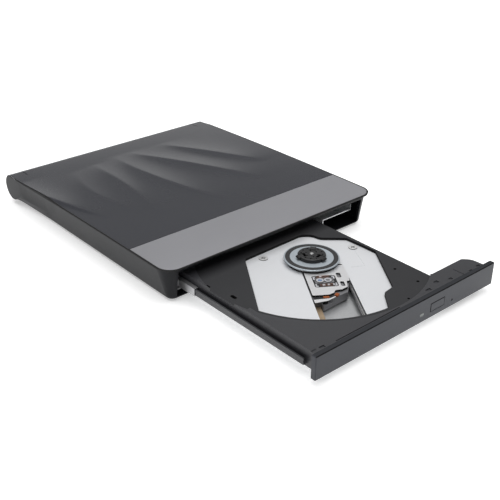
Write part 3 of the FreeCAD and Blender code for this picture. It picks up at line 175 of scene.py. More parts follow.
def noiseNode(tree, coords, scale, kind):
    node = tree.nodes.new("ShaderNodeTexNoise")
    tree.links.new(coords, node.inputs["Vector"])
    feed(tree, scale, node.inputs["Scale"])
    node.inputs["Detail"].default_value, node.inputs["Roughness"].default_value = noiseSettings[kind]
    return node.outputs["Fac"]


def swingNode(tree, noise, amount):
    # Noise less its middle value, times an amount
    return mathNode(tree, "MULTIPLY", mathNode(tree, "SUBTRACT", noise, 0.5), amount)


def bumpNode(tree, depth, height):
    bump = tree.nodes.new("ShaderNodeBump")
    tree.links.new(depth, bump.inputs["Distance"])
    tree.links.new(height, bump.inputs["Height"])
    return bump.outputs["Normal"]


def makeGrainGroup():
    # Moulded grain: fine noise for the bump, slow noise for a patchy tone; both on object coordinates
    group, takes, gives = newGroup("mouldedGrain", [
        ("Grain Scale", "NodeSocketFloat", 2600.0), ("Depth", "NodeSocketFloat", 0.00002),
        ("Patch Scale", "NodeSocketFloat", 18.0), ("Patch Amount", "NodeSocketFloat", 0.08)],
        [("Tone", "NodeSocketFloat"), ("Normal", "NodeSocketVector")])
    coords = group.nodes.new("ShaderNodeTexCoord").outputs["Object"]
    fine = noiseNode(group, coords, takes.outputs["Grain Scale"], "fine")
    slow = noiseNode(group, coords, takes.outputs["Patch Scale"], "patch")
    swing = swingNode(group, slow, takes.outputs["Patch Amount"])
    speck = swingNode(group, fine, takes.outputs["Patch Amount"])
    tone = mathNode(group, "ADD", mathNode(group, "ADD", swing, speck), 1.0)
    group.links.new(tone, gives.inputs["Tone"])
    group.links.new(bumpNode(group, takes.outputs["Depth"], fine), gives.inputs["Normal"])
    return group


def makeBrushGroup():
    # Brushed lines: noise squeezed across the brushing direction and stretched along it
    group, takes, gives = newGroup("brushedLines", [
        ("Stretch", "NodeSocketVector", (40.0, 2200.0, 2200.0)), ("Depth", "NodeSocketFloat", 0.000004),
        ("Amount", "NodeSocketFloat", 0.1)],
        [("Tone", "NodeSocketFloat"), ("Normal", "NodeSocketVector")])
    coords = group.nodes.new("ShaderNodeTexCoord").outputs["Object"]
    scaled = group.nodes.new("ShaderNodeVectorMath")
    scaled.operation = "MULTIPLY"
    group.links.new(coords, scaled.inputs[0])
    group.links.new(takes.outputs["Stretch"], scaled.inputs[1])
    lines = noiseNode(group, scaled.outputs[0], 1.0, "lines")
    swing = swingNode(group, lines, takes.outputs["Amount"])
    group.links.new(mathNode(group, "ADD", swing, 1.0), gives.inputs["Tone"])
    group.links.new(bumpNode(group, takes.outputs["Depth"], lines), gives.inputs["Normal"])
    return group


dustSettings = {"scale": 900.0, "threshold": 0.73, "amount": 0.12}


def makeHandlingGroup(s):
    # Handling marks: slow noise shifts the roughness in soft smudges, and fine noise above a threshold is dust
    group, takes, gives = newGroup("handlingMarks", [
        ("Smudge Scale", "NodeSocketFloat", 30.0), ("Smudge", "NodeSocketFloat", 0.06),
        ("Base Roughness", "NodeSocketFloat", 0.4)], [("Roughness", "NodeSocketFloat"), ("Dust", "NodeSocketFloat")])
    coords = group.nodes.new("ShaderNodeTexCoord").outputs["Object"]
    cloud = noiseNode(group, coords, takes.outputs["Smudge Scale"], "smudge")
    swing = swingNode(group, cloud, takes.outputs["Smudge"])
    rough = mathNode(group, "ADD", mathNode(group, "MULTIPLY", swing, 2.0), takes.outputs["Base Roughness"])
    specks = mathNode(group, "GREATER_THAN", noiseNode(group, coords, s["scale"], "dust"), s["threshold"])
    dust = mathNode(group, "MULTIPLY", specks, s["amount"])
    group.links.new(rough, gives.inputs["Roughness"])
    group.links.new(dust, gives.inputs["Dust"])
    return group


grainGroup = makeGrainGroup()
brushGroup = makeBrushGroup()
handlingGroup = makeHandlingGroup(dustSettings)


def placeGroup(tree, group, values):
    node = tree.nodes.new("ShaderNodeGroup")
    node.node_tree = group
    for label, value in values.items():
        node.inputs[label].default_value = value
    return node


# Places of a colour Mix node's sockets: its two colours among the inputs, its result among the outputs
mixFirst, mixSecond, mixResult = 6, 7, 2


def mixNode(tree, factor, first, second, blend="MIX"):
    # Colours are plain triples or sockets
    mix = tree.nodes.new("ShaderNodeMix")
    mix.data_type = "RGBA"
    mix.blend_type = blend
    feed(tree, factor, mix.inputs["Factor"])
    for colour, socket in ((first, mix.inputs[mixFirst]), (second, mix.inputs[mixSecond])):
        if isinstance(colour, tuple):
            socket.default_value = (*colour, 1.0)
        else:
            tree.links.new(colour, socket)
    return mix.outputs[mixResult]


# Roughness added where painted shade darkens a surface
paintedShadeDullness = 0.6


def paintedShadeTint(tree, colour, roughness, paintedShadeColour):
    # Painted shade: where the mesh's own rim attribute is 1 the surface takes the painted shade colour and is dull,
    # standing in for the shade in gaps, recesses and at edges
    rim = tree.nodes.new("ShaderNodeAttribute")
    rim.attribute_name = "rim"
    dull = mathNode(tree, "ADD", roughness, mathNode(tree, "MULTIPLY", rim.outputs["Fac"], paintedShadeDullness))
    return mixNode(tree, rim.outputs["Fac"], colour, paintedShadeColour), dull


# Shader inputs with their names in a finish and their usual values
shaderInputs = {
    "Metallic": ("metallic", 0.0), "IOR": ("ior", 1.5), "Coat Weight": ("coat", 0.0),
    "Coat Roughness": ("coatRoughness", 0.1), "Transmission Weight": ("transmission", 0.0),
    "Emission Strength": ("glow", 0.0),
}


def makeMaterial(name, s):
    # One finish: its colour is multiplied by the grain's or the brushing's tone, darkened by painted shade where the
    # rim attribute marks it, and specked with dust
    material = bpy.data.materials.new(name)
    material.use_nodes = True
    tree = material.node_tree
    shader = tree.nodes["Principled BSDF"]
    surface = placeGroup(tree, brushGroup if "brush" in s else grainGroup, s.get("brush") or s.get("grain") or {})
    handling = placeGroup(tree, handlingGroup, {"Base Roughness": s["roughness"], **s.get("handling", {})})
    colour = mixNode(tree, 1.0, s["colour"], surface.outputs["Tone"], "MULTIPLY")
    roughness = handling.outputs["Roughness"]
    # Painted shade, where the finish has a colour for it
    if "paintedShadeColour" in s:
        colour, roughness = paintedShadeTint(tree, colour, roughness, s["paintedShadeColour"])
    dusty = mixNode(tree, handling.outputs["Dust"], colour, s.get("dust", s["colour"]))
    tree.links.new(dusty, shader.inputs["Base Color"])
    tree.links.new(roughness, shader.inputs["Roughness"])
    tree.links.new(surface.outputs["Normal"], shader.inputs["Normal"])
    shader.inputs["Emission Color"].default_value = (1.0, 1.0, 1.0, 1.0)
    for label, (key, usual) in shaderInputs.items():
        shader.inputs[label].default_value = s.get(key, usual)
    return material


# Each finish's dark rim colour is painted shade, laid on the faces that the rim attribute marks
finishSettings = {
    "casingPaint": {"slot": "casing_top", "colour": (0.042, 0.0435, 0.051), "roughness": 0.20,
                    "paintedShadeColour": (0.0015, 0.0015, 0.002), "dust": (0.058, 0.059, 0.066),
                    "handling": {"Smudge": 0.02, "Smudge Scale": 12.0},
                    "grain": {"Grain Scale": 3200.0, "Depth": 0.0000003, "Patch Scale": 7.0, "Patch Amount": 0.04}},
    "shellPlastic": {"slot": "casing_lower", "colour": (0.0065, 0.0070, 0.0090), "roughness": 0.40, "ior": 1.28,
                     "dust": (0.07, 0.07, 0.07),
                     "grain": {"Grain Scale": 2600.0, "Depth": 0.000004, "Patch Scale": 14.0, "Patch Amount": 0.12}},
    "stripSilver": {"slot": "trim", "colour": (0.325, 0.325, 0.345), "roughness": 0.42, "metallic": 0.5,
                    "dust": (0.33, 0.33, 0.34),
                    "brush": {"Stretch": (60.0, 2400.0, 2400.0), "Depth": 0.0000015, "Amount": 0.09}},
    "trayPlastic": {"slot": "tray_plastic", "colour": (0.035, 0.0355, 0.040), "roughness": 0.42,
                    "paintedShadeColour": (0.0015, 0.0015, 0.002),
                    "dust": (0.08, 0.08, 0.08),
                    "grain": {"Grain Scale": 2400.0, "Depth": 0.000005, "Patch Scale": 20.0, "Patch Amount": 0.16}},
    "bezelPlastic": {"slot": "bezel_plastic", "colour": (0.031, 0.034, 0.043), "roughness": 0.40, "ior": 1.42,
                     "paintedShadeColour": (0.0015, 0.0015, 0.002),
                     "dust": (0.10, 0.10, 0.10),
                     "grain": {"Grain Scale": 2800.0, "Depth": 0.000004, "Patch Scale": 24.0, "Patch Amount": 0.12}},
    "deckCoating": {"slot": "deck_paint", "colour": (0.76, 0.77, 0.79), "roughness": 0.36, "metallic": 0.2,
                    "paintedShadeColour": (0.02, 0.02, 0.02),
                    "dust": (0.62, 0.62, 0.63),
                    "brush": {"Stretch": (90.0, 1500.0, 1500.0), "Depth": 0.0000012, "Amount": 0.04}},
    "turntableGrey": {"slot": "turntable_metal", "colour": (0.46, 0.51, 0.55), "roughness": 0.33, "metallic": 0.3,
                      "dust": (0.4, 0.4, 0.4),
                      "grain": {"Grain Scale": 1800.0, "Depth": 0.000001, "Patch Scale": 60.0, "Patch Amount": 0.08}},
    "blackRubber": {"slot": "rubber", "colour": (0.030, 0.030, 0.031), "roughness": 0.70, "dust": (0.09, 0.09, 0.09),
                    "grain": {"Grain Scale": 1600.0, "Depth": 0.00001, "Patch Scale": 50.0, "Patch Amount": 0.3}},
    "blackPlastic": {"slot": "component_black", "colour": (0.012, 0.012, 0.013), "roughness": 0.36,
                     "dust": (0.06, 0.06, 0.06),
                     "grain": {"Grain Scale": 2200.0, "Depth": 0.000003, "Patch Scale": 40.0, "Patch Amount": 0.2}},
    "guidePlastic": {"slot": "dark_plastic", "colour": (0.022, 0.022, 0.024), "roughness": 0.45,
                     "dust": (0.07, 0.07, 0.07),
                     "grain": {"Grain Scale": 2000.0, "Depth": 0.000004, "Patch Scale": 35.0, "Patch Amount": 0.2}},
    "bareSteel": {"slot": "steel", "colour": (0.72, 0.72, 0.72), "roughness": 0.27, "metallic": 0.9,
                  "dust": (0.5, 0.5, 0.5),
                  "brush": {"Stretch": (2000.0, 90.0, 2000.0), "Depth": 0.0000015, "Amount": 0.12}},
    "railSteel": {"slot": "rail_metal", "colour": (0.50, 0.50, 0.51), "roughness": 0.33, "metallic": 0.8,
                  "dust": (0.5, 0.5, 0.5),
                  "brush": {"Stretch": (2200.0, 50.0, 2200.0), "Depth": 0.0000015, "Amount": 0.12}},
    "platedSheet": {"slot": "sheet_metal", "colour": (0.66, 0.67, 0.68), "roughness": 0.36, "metallic": 0.8,
                    "paintedShadeColour": (0.06, 0.06, 0.06),
                    "dust": (0.35, 0.35, 0.35),
                    "grain": {"Grain Scale": 900.0, "Depth": 0.000002, "Patch Scale": 120.0, "Patch Amount": 0.2}},
    "tinnedSheet": {"slot": "sled_cover_metal", "colour": (0.82, 0.82, 0.83), "roughness": 0.32, "metallic": 0.5,
                    "paintedShadeColour": (0.02, 0.02, 0.02),
                    "dust": (0.65, 0.65, 0.65),
                    "brush": {"Stretch": (300.0, 1800.0, 1800.0), "Depth": 0.000001, "Amount": 0.08}},
    "castMetal": {"slot": "sled_metal", "colour": (0.22, 0.22, 0.23), "roughness": 0.45, "metallic": 0.4,
                  "dust": (0.2, 0.2, 0.2),
                  "grain": {"Grain Scale": 1400.0, "Depth": 0.000008, "Patch Scale": 90.0, "Patch Amount": 0.35}},
    "boardGreen": {"slot": "board", "colour": (0.012, 0.062, 0.030), "roughness": 0.35, "coat": 0.3,
                   "dust": (0.10, 0.12, 0.10),
                   "grain": {"Grain Scale": 700.0, "Depth": 0.000003, "Patch Scale": 260.0, "Patch Amount": 0.35}},
    "amberFlex": {"slot": "flex", "colour": (0.30, 0.075, 0.014), "roughness": 0.30, "dust": (0.4, 0.25, 0.12),
                  "grain": {"Grain Scale": 900.0, "Depth": 0.000002, "Patch Scale": 700.0, "Patch Amount": 0.7}},
    "tanFlex": {"slot": "flex", "colour": (0.34, 0.25, 0.16), "roughness": 0.45, "dust": (0.3, 0.25, 0.2),
                "brush": {"Stretch": (1400.0, 900.0, 80.0), "Depth": 0.000003, "Amount": 0.35}},
    "copperWire": {"slot": "component_black", "colour": (0.22, 0.12, 0.09), "roughness": 0.3, "metallic": 0.6,
                   "dust": (0.3, 0.2, 0.1),
                   "grain": {"Grain Scale": 1500.0, "Depth": 0.000002, "Patch Scale": 900.0, "Patch Amount": 0.4}},
    "screwSilver": {"slot": "steel", "colour": (0.82, 0.82, 0.82), "roughness": 0.32, "metallic": 0.5,
                    "paintedShadeColour": (0.05, 0.05, 0.05),
                    "dust": (0.6, 0.6, 0.6),
                    "brush": {"Stretch": (1600.0, 400.0, 1600.0), "Depth": 0.000001, "Amount": 0.06}},
    "frameGrey": {"slot": "component_black", "colour": (0.19, 0.19, 0.20), "roughness": 0.42,
                  "dust": (0.25, 0.25, 0.25),
                  "grain": {"Grain Scale": 1800.0, "Depth": 0.000003, "Patch Scale": 400.0, "Patch Amount": 0.25}},
    "ringSilver": {"slot": "sled_cover_metal", "colour": (0.62, 0.62, 0.65), "roughness": 0.33, "metallic": 0.4,
                   "dust": (0.5, 0.5, 0.5),
                   "grain": {"Grain Scale": 1500.0, "Depth": 0.000001, "Patch Scale": 500.0, "Patch Amount": 0.2}},
    "lensGlass": {"slot": "lens", "colour": (0.22, 0.33, 0.55), "roughness": 0.06, "transmission": 0.3, "coat": 0.8,
                  "coatRoughness": 0.03, "dust": (0.5, 0.6, 0.8),
                  "grain": {"Grain Scale": 500.0, "Depth": 0.0, "Patch Scale": 400.0, "Patch Amount": 0.3}},
    "lightPlastic": {"slot": "light_plastic", "colour": (0.25, 0.27, 0.26), "roughness": 0.25, "transmission": 0.3,
                     "dust": (0.5, 0.5, 0.5),
                     "grain": {"Grain Scale": 1500.0, "Depth": 0.000001, "Patch Scale": 200.0, "Patch Amount": 0.1}},
}
finishes = {name: makeMaterial(name, s) for name, s in finishSettings.items()}
print("stage: finishes", len(finishes))


# Floor

floorSettings = {"half": 6.0, "colour": (0.95, 0.95, 0.95), "roughness": 0.9, "glow": 0.42,
                 "grain": {"Grain Scale": 300.0, "Depth": 0.0, "Patch Scale": 2.0, "Patch Amount": 0.01}}


def addFloor(s):
    half = s["half"]
    mesh = bpy.data.meshes.new("floor")
    mesh.from_pydata([(-half, -half, 0), (half, -half, 0), (half, half, 0), (-half, half, 0)], [], [(0, 1, 2, 3)])
    floor = bpy.data.objects.new("floor", mesh)
    bpy.context.scene.collection.objects.link(floor)
    mesh.materials.append(makeMaterial("floorPaper", s))


addFloor(floorSettings)
print("stage: floor")


# Mesh helpers

def addObject(name, mesh, finish, body, *replaced):
    # A piece with its finish that rides on a body, in place of the CAD nodes that it replaces
    mesh.materials.clear()
    mesh.materials.append(finishes[finish])
    piece = bpy.data.objects.new(name, mesh)
    bpy.context.scene.collection.objects.link(piece)
    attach(piece, body)
    if replaced:
        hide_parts(*replaced)
    return piece


def gridFaces(rows, columns, wrapColumns=False):
    # Quads of a grid of rows by columns, as an index array
    last = columns if wrapColumns else columns - 1
    r, c = np.meshgrid(np.arange(rows - 1), np.arange(last), indexing="ij")
    n = (c + 1) % columns
    quads = [r * columns + c, r * columns + n, (r + 1) * columns + n, (r + 1) * columns + c]
    return np.stack(quads, -1).reshape(-1, 4)


def smoothByAngle(bm, degrees):
    # Edges between faces that meet at less than the angle are smooth, all others sharp
    for face in bm.faces:
        face.smooth = True
    limit = math.radians(degrees)
    for edge in bm.edges:
        edge.smooth = len(edge.link_faces) == 2 and edge.calc_face_angle(0) < limit


def meshOf(name, parts, mergeDistance=0.000004, smoothAngle=35.0):
    # Mesh from (points, quads) pairs in millimetres, merged where they meet, open rims closed, faces outwards
    points, quads, start = [], [], 0
    for pts, faces in parts:
        flat = np.asarray(pts, float).reshape(-1, 3) * mm
        points.append(flat)
        quads.append(np.asarray(faces) + start)
        start += len(flat)
    mesh = bpy.data.meshes.new(name)
    mesh.from_pydata(np.concatenate(points).tolist(), [], np.concatenate(quads).tolist())
    bm = bmesh.new()
    bm.from_mesh(mesh)
    bmesh.ops.remove_doubles(bm, verts=bm.verts, dist=mergeDistance)
    bmesh.ops.dissolve_degenerate(bm, dist=mergeDistance / 2, edges=bm.edges)
    bmesh.ops.holes_fill(bm, edges=[e for e in bm.edges if e.is_boundary], sides=0)
    bmesh.ops.recalc_face_normals(bm, faces=bm.faces)
    smoothByAngle(bm, smoothAngle)
    bm.to_mesh(mesh)
    bm.free()
    return mesh


def roundedOutline(corners, steps=6):
    # Each corner (x, y, radius) becomes a curve between points one radius before and after it, and no curve takes up
    # half of a side
    xy = np.array([c[:2] for c in corners], float)
    radius = np.array([c[2] for c in corners], float)[:, None]
    before, after = np.roll(xy, 1, 0) - xy, np.roll(xy, -1, 0) - xy
    lengths = np.linalg.norm(before, axis=1, keepdims=True), np.linalg.norm(after, axis=1, keepdims=True)
    reach = np.minimum(radius, 0.49 * np.minimum(*lengths))
    start, end = xy + before / lengths[0] * reach, xy + after / lengths[1] * reach
    t = np.linspace(0, 1, steps)[None, :, None]
    curve = (1 - t) ** 2 * start[:, None] + 2 * t * (1 - t) * xy[:, None] + t * t * end[:, None]
    flat = curve.reshape(-1, 2)
    return flat[np.linalg.norm(flat - np.roll(flat, 1, 0), axis=1) > 1e-6]


def outwardNormals(path):
    # Unit normals of a closed path, pointing out of the area that it encloses
    run = np.roll(path, -1, 0) - np.roll(path, 1, 0)
    normal = np.stack([run[:, 1], -run[:, 0]], 1)
    area = np.sum(path[:, 0] * np.roll(path[:, 1], -1) - np.roll(path[:, 0], -1) * path[:, 1])
    return normal / np.linalg.norm(normal, axis=1, keepdims=True) * np.sign(area)


def carried(path, profile, place=None, closed=False):
    # Profile of (outward, z) pairs carried along a closed path; place turns the flat points into the part's frame,
    # and a closed profile joins its last row to its first
    out = outwardNormals(path)
    flat = path[None] + np.array(profile)[:, 0][:, None, None] * out[None]
    z = np.broadcast_to(np.array(profile)[:, 1][:, None], flat.shape[:2])
    if closed:
        flat, z = np.concatenate([flat, flat[:1]]), np.concatenate([z, z[:1]])
    x, y = flat[..., 0], flat[..., 1]
    if place:
        x, y = place(x, y)
    return np.stack([x, y, z], -1), gridFaces(flat.shape[0], flat.shape[1], True)


def plate(corners, z0, z1, edge, place=None):
    # Flat plate with rounded rims: the outline drawn in at its two faces, with one point midway round each rim
    midway = 0.3 * edge
    profile = [(-edge, z0), (-midway, z0 + midway), (0, z0 + edge), (0, z1 - edge), (-midway, z1 - midway), (-edge, z1)]
    return carried(roundedOutline(corners), profile, place)


def turnedShape(profile, centre, segments):
    # Profile of (radius, z) pairs turned round an upright axis
    rows = np.array(profile, float)
    angle = np.linspace(0, 2 * np.pi, segments, endpoint=False)
    radius, z = rows[:, :1] + 0 * angle, rows[:, 1:] + 0 * angle
    pts = np.stack([centre[0] + radius * np.cos(angle), centre[1] + radius * np.sin(angle), z], -1)
    return pts, gridFaces(len(rows), segments, True)


def softStep(value, low, high):
    # 0 below low, 1 above high, and 3 t t - 2 t t t between them
    t = np.clip((value - low) / (high - low), 0, 1)
    return t * t * (3 - 2 * t)


# Spindle's axis in plan, and the way from it along which the sled runs
spindle = (0.0, -108.9)
trackTurn = math.radians(-122.9)


def onTrack(along, across):
    # Distances along and across the sled's track, turned into the part's x and y
    x = along * math.cos(trackTurn) - across * math.sin(trackTurn)
    return x, spindle[1] + along * math.sin(trackTurn) + across * math.cos(trackTurn)


# Painted shade on CAD nodes: each function gives a face its share of the painted shade colour, from its normal and its
# corners, standing in for the shade in gaps, recesses and under edges. Its settings are in millimetres in the part's
# frame.

shadeSettings = {
    "deckLow": (9.0, 12.0), "trayHalf": 60.0, "trayFront": -169.5, "discFloor": 12.9, "discShade": 0.5,
    "bezelTop": 15.0, "bezelShade": 0.5, "gapZ": (5.0, 14.0), "gapX": (12.0, 40.0),
    "grooveDepth": 0.2, "recessDepth": 0.05,
    "screwTop": max((nodes["deck_screws"].matrix_world @ v.co).z for v in nodes["deck_screws"].data.vertices) / mm,
}


def trayShade(face, corners, s):
    # Painted shade, full on the upright faces that end at the deck, clear of the tray's outer sides, and lighter on the
    # disc's floor, where the casing's shade falls
    low, high = min(c.z for c in corners), max(c.z for c in corners)
    if face.normal.z > 0.9 and abs(low - s["discFloor"]) < 0.05 and high - low < 0.05:
        return s["discShade"]
    inside = all(abs(c.x) < s["trayHalf"] and c.y > s["trayFront"] for c in corners)
    return abs(face.normal.z) < 0.3 and s["deckLow"][0] < low < s["deckLow"][1] and inside


def bezelShade(face, corners, s):
    # Painted shade, full inside the button's opening and the pin's hole and on the upper front edge, and lighter on the
    # top
    x, z = sum(c.x for c in corners) / len(corners), sum(c.z for c in corners) / len(corners)
    if face.normal.z > 0.95 and z > s["bezelTop"]:
        return s["bezelShade"]
    if face.normal.z > 0.2:
        return face.normal.y < -0.15 and z > s["bezelTop"]
    return abs(face.normal.y) < 0.95 and s["gapZ"][0] < z < s["gapZ"][1] and s["gapX"][0] < x < s["gapX"][1]


def buttonShade(face, corners, s):
    # Painted shade, full on all but the button's front, for the gap round the button
    return face.normal.y > -0.95


def sheetShade(face, corners, s):
    # Painted shade, full on the cut sides of a sheet, but not on the walls of a shallow groove
    return abs(face.normal.z) < 0.5 and max(c.z for c in corners) - min(c.z for c in corners) > s["grooveDepth"]


def screwShade(face, corners, s):
    # Painted shade, full on the head's side and on the driver's recess below its top
    return face.normal.z < 0.9 or max(c.z for c in corners) < s["screwTop"] - s["recessDepth"]


shades = {"tray": trayShade, "bezel": bezelShade, "eject_button": buttonShade, "deck_plate": sheetShade,
          "sled_cover": sheetShade, "sled_bracket": sheetShade, "chassis": sheetShade, "deck_screws": screwShade}


dressSettings = {"mergeDistance": 0.000002, "flatAngle": 0.8, "smoothAngle": 32.0, "bevelSegments": 2}


def dressNode(node, finish, edge, s):
    # A smooth copy of a CAD node, its flat areas joined into whole faces and its edges lightly broken
    mesh = nodes[node].data.copy()
    bm = bmesh.new()
    bm.from_mesh(mesh)
    bmesh.ops.remove_doubles(bm, verts=bm.verts, dist=s["mergeDistance"])
    if edge:
        bmesh.ops.dissolve_limit(bm, angle_limit=math.radians(s["flatAngle"]), verts=bm.verts, edges=bm.edges,
                                 delimit={"NORMAL"})
    smoothByAngle(bm, s["smoothAngle"])
    bm.to_mesh(mesh)
    bm.free()
    if node in shades:
        shade = [float(shades[node](face, [mesh.vertices[i].co / mm for i in face.vertices], shadeSettings))
                 for face in mesh.polygons]
        mesh.attributes.new("rim", "FLOAT", "FACE").data.foreach_set("value", shade)
    piece = addObject(node + "Dressed", mesh, finish, nodes[node]["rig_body"], node)
    if edge:
        bevel = piece.modifiers.new("brokenEdges", "BEVEL")
        bevel.width = edge
        bevel.segments = s["bevelSegments"]
        bevel.limit_method = "ANGLE"
        bevel.angle_limit = math.radians(s["smoothAngle"])
        bevel.use_clamp_overlap = True
        bevel.harden_normals = True


# Rippled cover of the casing, in millimetres. A ripple is its height, its crest's x at the rear, middle and front, its
# y at the rear and front, and the length over which its steep side falls. Insets are the distances of the mesh's rows
# from the edge: those of the top and those of the lip's underside.

coverSettings = {
    "halfWidth": 75.0, "front": -84.8, "corner": 9.0, "top": 20.9, "sideTilt": 0.266, "frontTilt": 0.236,
    "edgeRound": 0.35, "rimWidth": 0.95, "recess": 0.5, "trimRear": -51.65,
    "sheetEnd": 77.95, "rearStop": 80.87, "rollY": 76.95, "rollZ": 11.1, "rollRadius": 7.85, "rollInset": 1.0,
    "lip": 1.0, "lipRound": 0.1, "step": 1.1, "rollRows": 6, "arcPoints": 17,
    "ripples": [(0.82, 26.0, 41.0, 58.5, 60.0, -8.0, 4.2), (1.0, 1.0, 20.0, 40.5, 61.0, -29.0, 4.6),
                (1.0, -9.5, -9.5, 4.5, 62.0, -42.0, 5.0), (0.99, -27.0, -31.0, -38.5, 58.0, -33.0, 5.2),
                (0.54, -41.0, -50.5, -40.0, 56.0, -24.0, 5.0), (1.15, -77.0, -73.0, -61.5, 62.0, -14.0, 1.3)],
    "crestRound": 0.6, "fade": 1.1, "gentle": 11.0, "gentlePower": 1.15, "rollBlend": 10.0,
    "topInsets": [0.05, 0.12, 0.2, 0.28, 0.36, 0.6, 1.5, 2.2, 2.9, 3.6, 4.3, 5.0, 5.8, 6.6, 7.4, 8.2],
    "lipInsets": [8.8, 1.6, 0.12], "paintedShadeEdge": 0.62, "smoothAngle": 40.0,
}


def coverHeight(x, y, s):
    # The sheet falls as a parabola to the roll, which is an arc. Each ripple is a curved crest that fades to its ends
    # as a power of a sine; beside it the height falls exponentially, fast on the steep side and slowly on the gentle.
    drop = s["top"] - s["rollZ"] - math.sqrt(s["rollRadius"] ** 2 - (s["sheetEnd"] - s["rollY"]) ** 2)
    share = np.clip((y - s["trimRear"]) / (s["sheetEnd"] - s["trimRear"]), 0, None)
    z = s["top"] - drop * share ** 2
    for height, xRear, xMiddle, xFront, yRear, yFront, steepLength in s["ripples"]:
        t = np.clip((yRear - y) / (yRear - yFront), 0, 1)
        pull = 2 * xMiddle - (xRear + xFront) / 2
        side = x - ((1 - t) ** 2 * xRear + 2 * t * (1 - t) * pull + t * t * xFront)
        fade = np.sin(np.pi * t) ** s["fade"]
        gentle = np.exp(-(np.abs(side) / s["gentle"]) ** s["gentlePower"])
        steep = np.exp(-(np.sqrt(side ** 2 + s["crestRound"] ** 2) - s["crestRound"]) / steepLength)
        z = z + height * fade * np.where(side >= 0, gentle, steep)
    roll = s["rollZ"] + np.sqrt(np.clip(s["rollRadius"] ** 2 - (y - s["rollY"]) ** 2, 0, None))
    return np.where(y > s["sheetEnd"], roll, z)


def buildCover(s):
    # Rim strip: the plan outline moved inwards row by row. Middle: a plain grid between the strip's inner rows.
    # The strip's outline runs forwards on the left, along the front and back on the right, with round front corners.
    # Rows that lie a hundredth of a millimetre apart make the steps of the recess under the trim.
    r, half, front = s["corner"], s["halfWidth"], s["front"]
    rear = np.linspace(s["rearStop"], s["sheetEnd"], s["rollRows"])
    run = np.linspace(s["sheetEnd"], s["trimRear"], int((s["sheetEnd"] - s["trimRear"]) / s["step"]) + 1)
    flat = np.array([s["trimRear"] - 0.02, (s["trimRear"] + front + r) / 2, front + r])
    ys = np.concatenate([rear[:-1], run, flat])
    xs = np.linspace(-(half - r), half - r, int(2 * (half - r) / s["step"]) + 1)
    arc = np.radians(np.linspace(180, 270, s["arcPoints"]))[1:-1]
    bend = np.ones(len(arc))
    pathX = np.concatenate([np.full(len(ys), r - half), (r - half) * bend, xs, (half - r) * bend,
                            np.full(len(ys), half - r)])
    pathY = np.concatenate([ys, (front + r) * bend, np.full(len(xs), front + r), (front + r) * bend, ys[::-1]])
    outX = np.concatenate([np.full(len(ys), -1.0), np.cos(arc), np.zeros(len(xs)), -np.cos(arc)[::-1],
                           np.full(len(ys), 1.0)])
    outY = np.concatenate([np.zeros(len(ys)), np.sin(arc), np.full(len(xs), -1.0), np.sin(arc)[::-1],
                           np.zeros(len(ys))])
    narrow = s["rollInset"] * softStep(pathY, s["rollY"] - s["rollBlend"], s["rollY"])

    def underTrim(y):
        return y < s["trimRear"] - 0.01

    def wallRow(extra, lower):
        x = pathX + outX * (r - s["sideTilt"] * lower - extra - narrow)
        y = pathY + outY * (r - s["frontTilt"] * lower - extra)
        return np.stack([x, y, coverHeight(x, y, rimless) - lower], -1)

    def topRow(inset):
        x, y = pathX + outX * (r - inset - narrow), pathY + outY * (r - inset)
        z = coverHeight(x, y, s) - np.where((inset > s["rimWidth"]) & underTrim(y), s["recess"], 0.0)
        turn = max(0.0, s["edgeRound"] - inset)
        return np.stack([x, y, z - s["edgeRound"] + math.sqrt(s["edgeRound"] ** 2 - turn ** 2)], -1)

    rimless = {**s, "ripples": []}
    walls = [(inset, s["lip"]) for inset in s["lipInsets"]] + [(0.0, s["lip"] - s["lipRound"]), (0.0, s["edgeRound"])]
    insets = sorted(s["topInsets"] + [s["rimWidth"] - 0.01, s["rimWidth"] + 0.01, r])
    strip = np.stack([wallRow(*row) for row in walls] + [topRow(inset) for inset in insets])
    gx, gy = np.meshgrid(xs, ys)
    top = coverHeight(gx, gy, s) - np.where(underTrim(gy), s["recess"], 0.0)
    parts = [(strip, gridFaces(strip.shape[0], strip.shape[1])),
             (np.stack([gx, gy, top], -1), gridFaces(len(ys), len(xs)))]
    mesh = meshOf("rippledCover", parts, smoothAngle=s["smoothAngle"])
    flat = np.empty(3 * len(mesh.vertices))
    mesh.vertices.foreach_get("co", flat)
    x, y = flat[0::3] / mm, flat[1::3] / mm
    # Painted shade: points in the rim strip beside the trim, and in a narrow band at the cover's edge, take the painted
    # shade colour, standing in for the shade in the joints and under the rim
    inset = r - np.hypot(np.clip(np.abs(x) - half + r, 0, None), np.clip(front + r - y, 0, None))
    edge = np.where(y < s["trimRear"], inset < s["rimWidth"] + 0.005, inset < s["paintedShadeEdge"])
    mesh.attributes.new("rim", "FLOAT", "POINT").data.foreach_set("value", edge.astype(np.float32))
    addObject("rippledCover", mesh, "casingPaint", "casing", "top_cover")


buildCover(coverSettings)
print("stage: cover")


# Grooved rubber ring of the turntable

gripSettings = {"inner": 11.45, "outer": 13.85, "bottom": 13.85, "top": 14.4, "cushion": 0.1, "grooves": 3,
                "grooveDepth": 0.06, "rows": 29, "segments": 144}


def buildGrip(s):
    # The ring's top is a low cushion, falling as a fourth power to its edges, grooved by eighth powers of a cosine
    r = np.linspace(s["inner"], s["outer"], s["rows"])
    share = (r - s["inner"]) / (s["outer"] - s["inner"])
    groove = np.cos(share * 2 * np.pi * s["grooves"]) ** 8
    z = s["top"] - s["cushion"] * (2 * share - 1) ** 4 - s["grooveDepth"] * groove
    profile = [(s["inner"], s["bottom"])] + list(zip(r, z)) + [(s["outer"], s["bottom"]), (s["inner"], s["bottom"])]
    addObject("grooveRing", meshOf("grooveRing", [turnedShape(profile, spindle, s["segments"])]), "blackRubber",
              nodes["grip_ring"]["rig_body"], "grip_ring")


buildGrip(gripSettings)
print("stage: turntable")
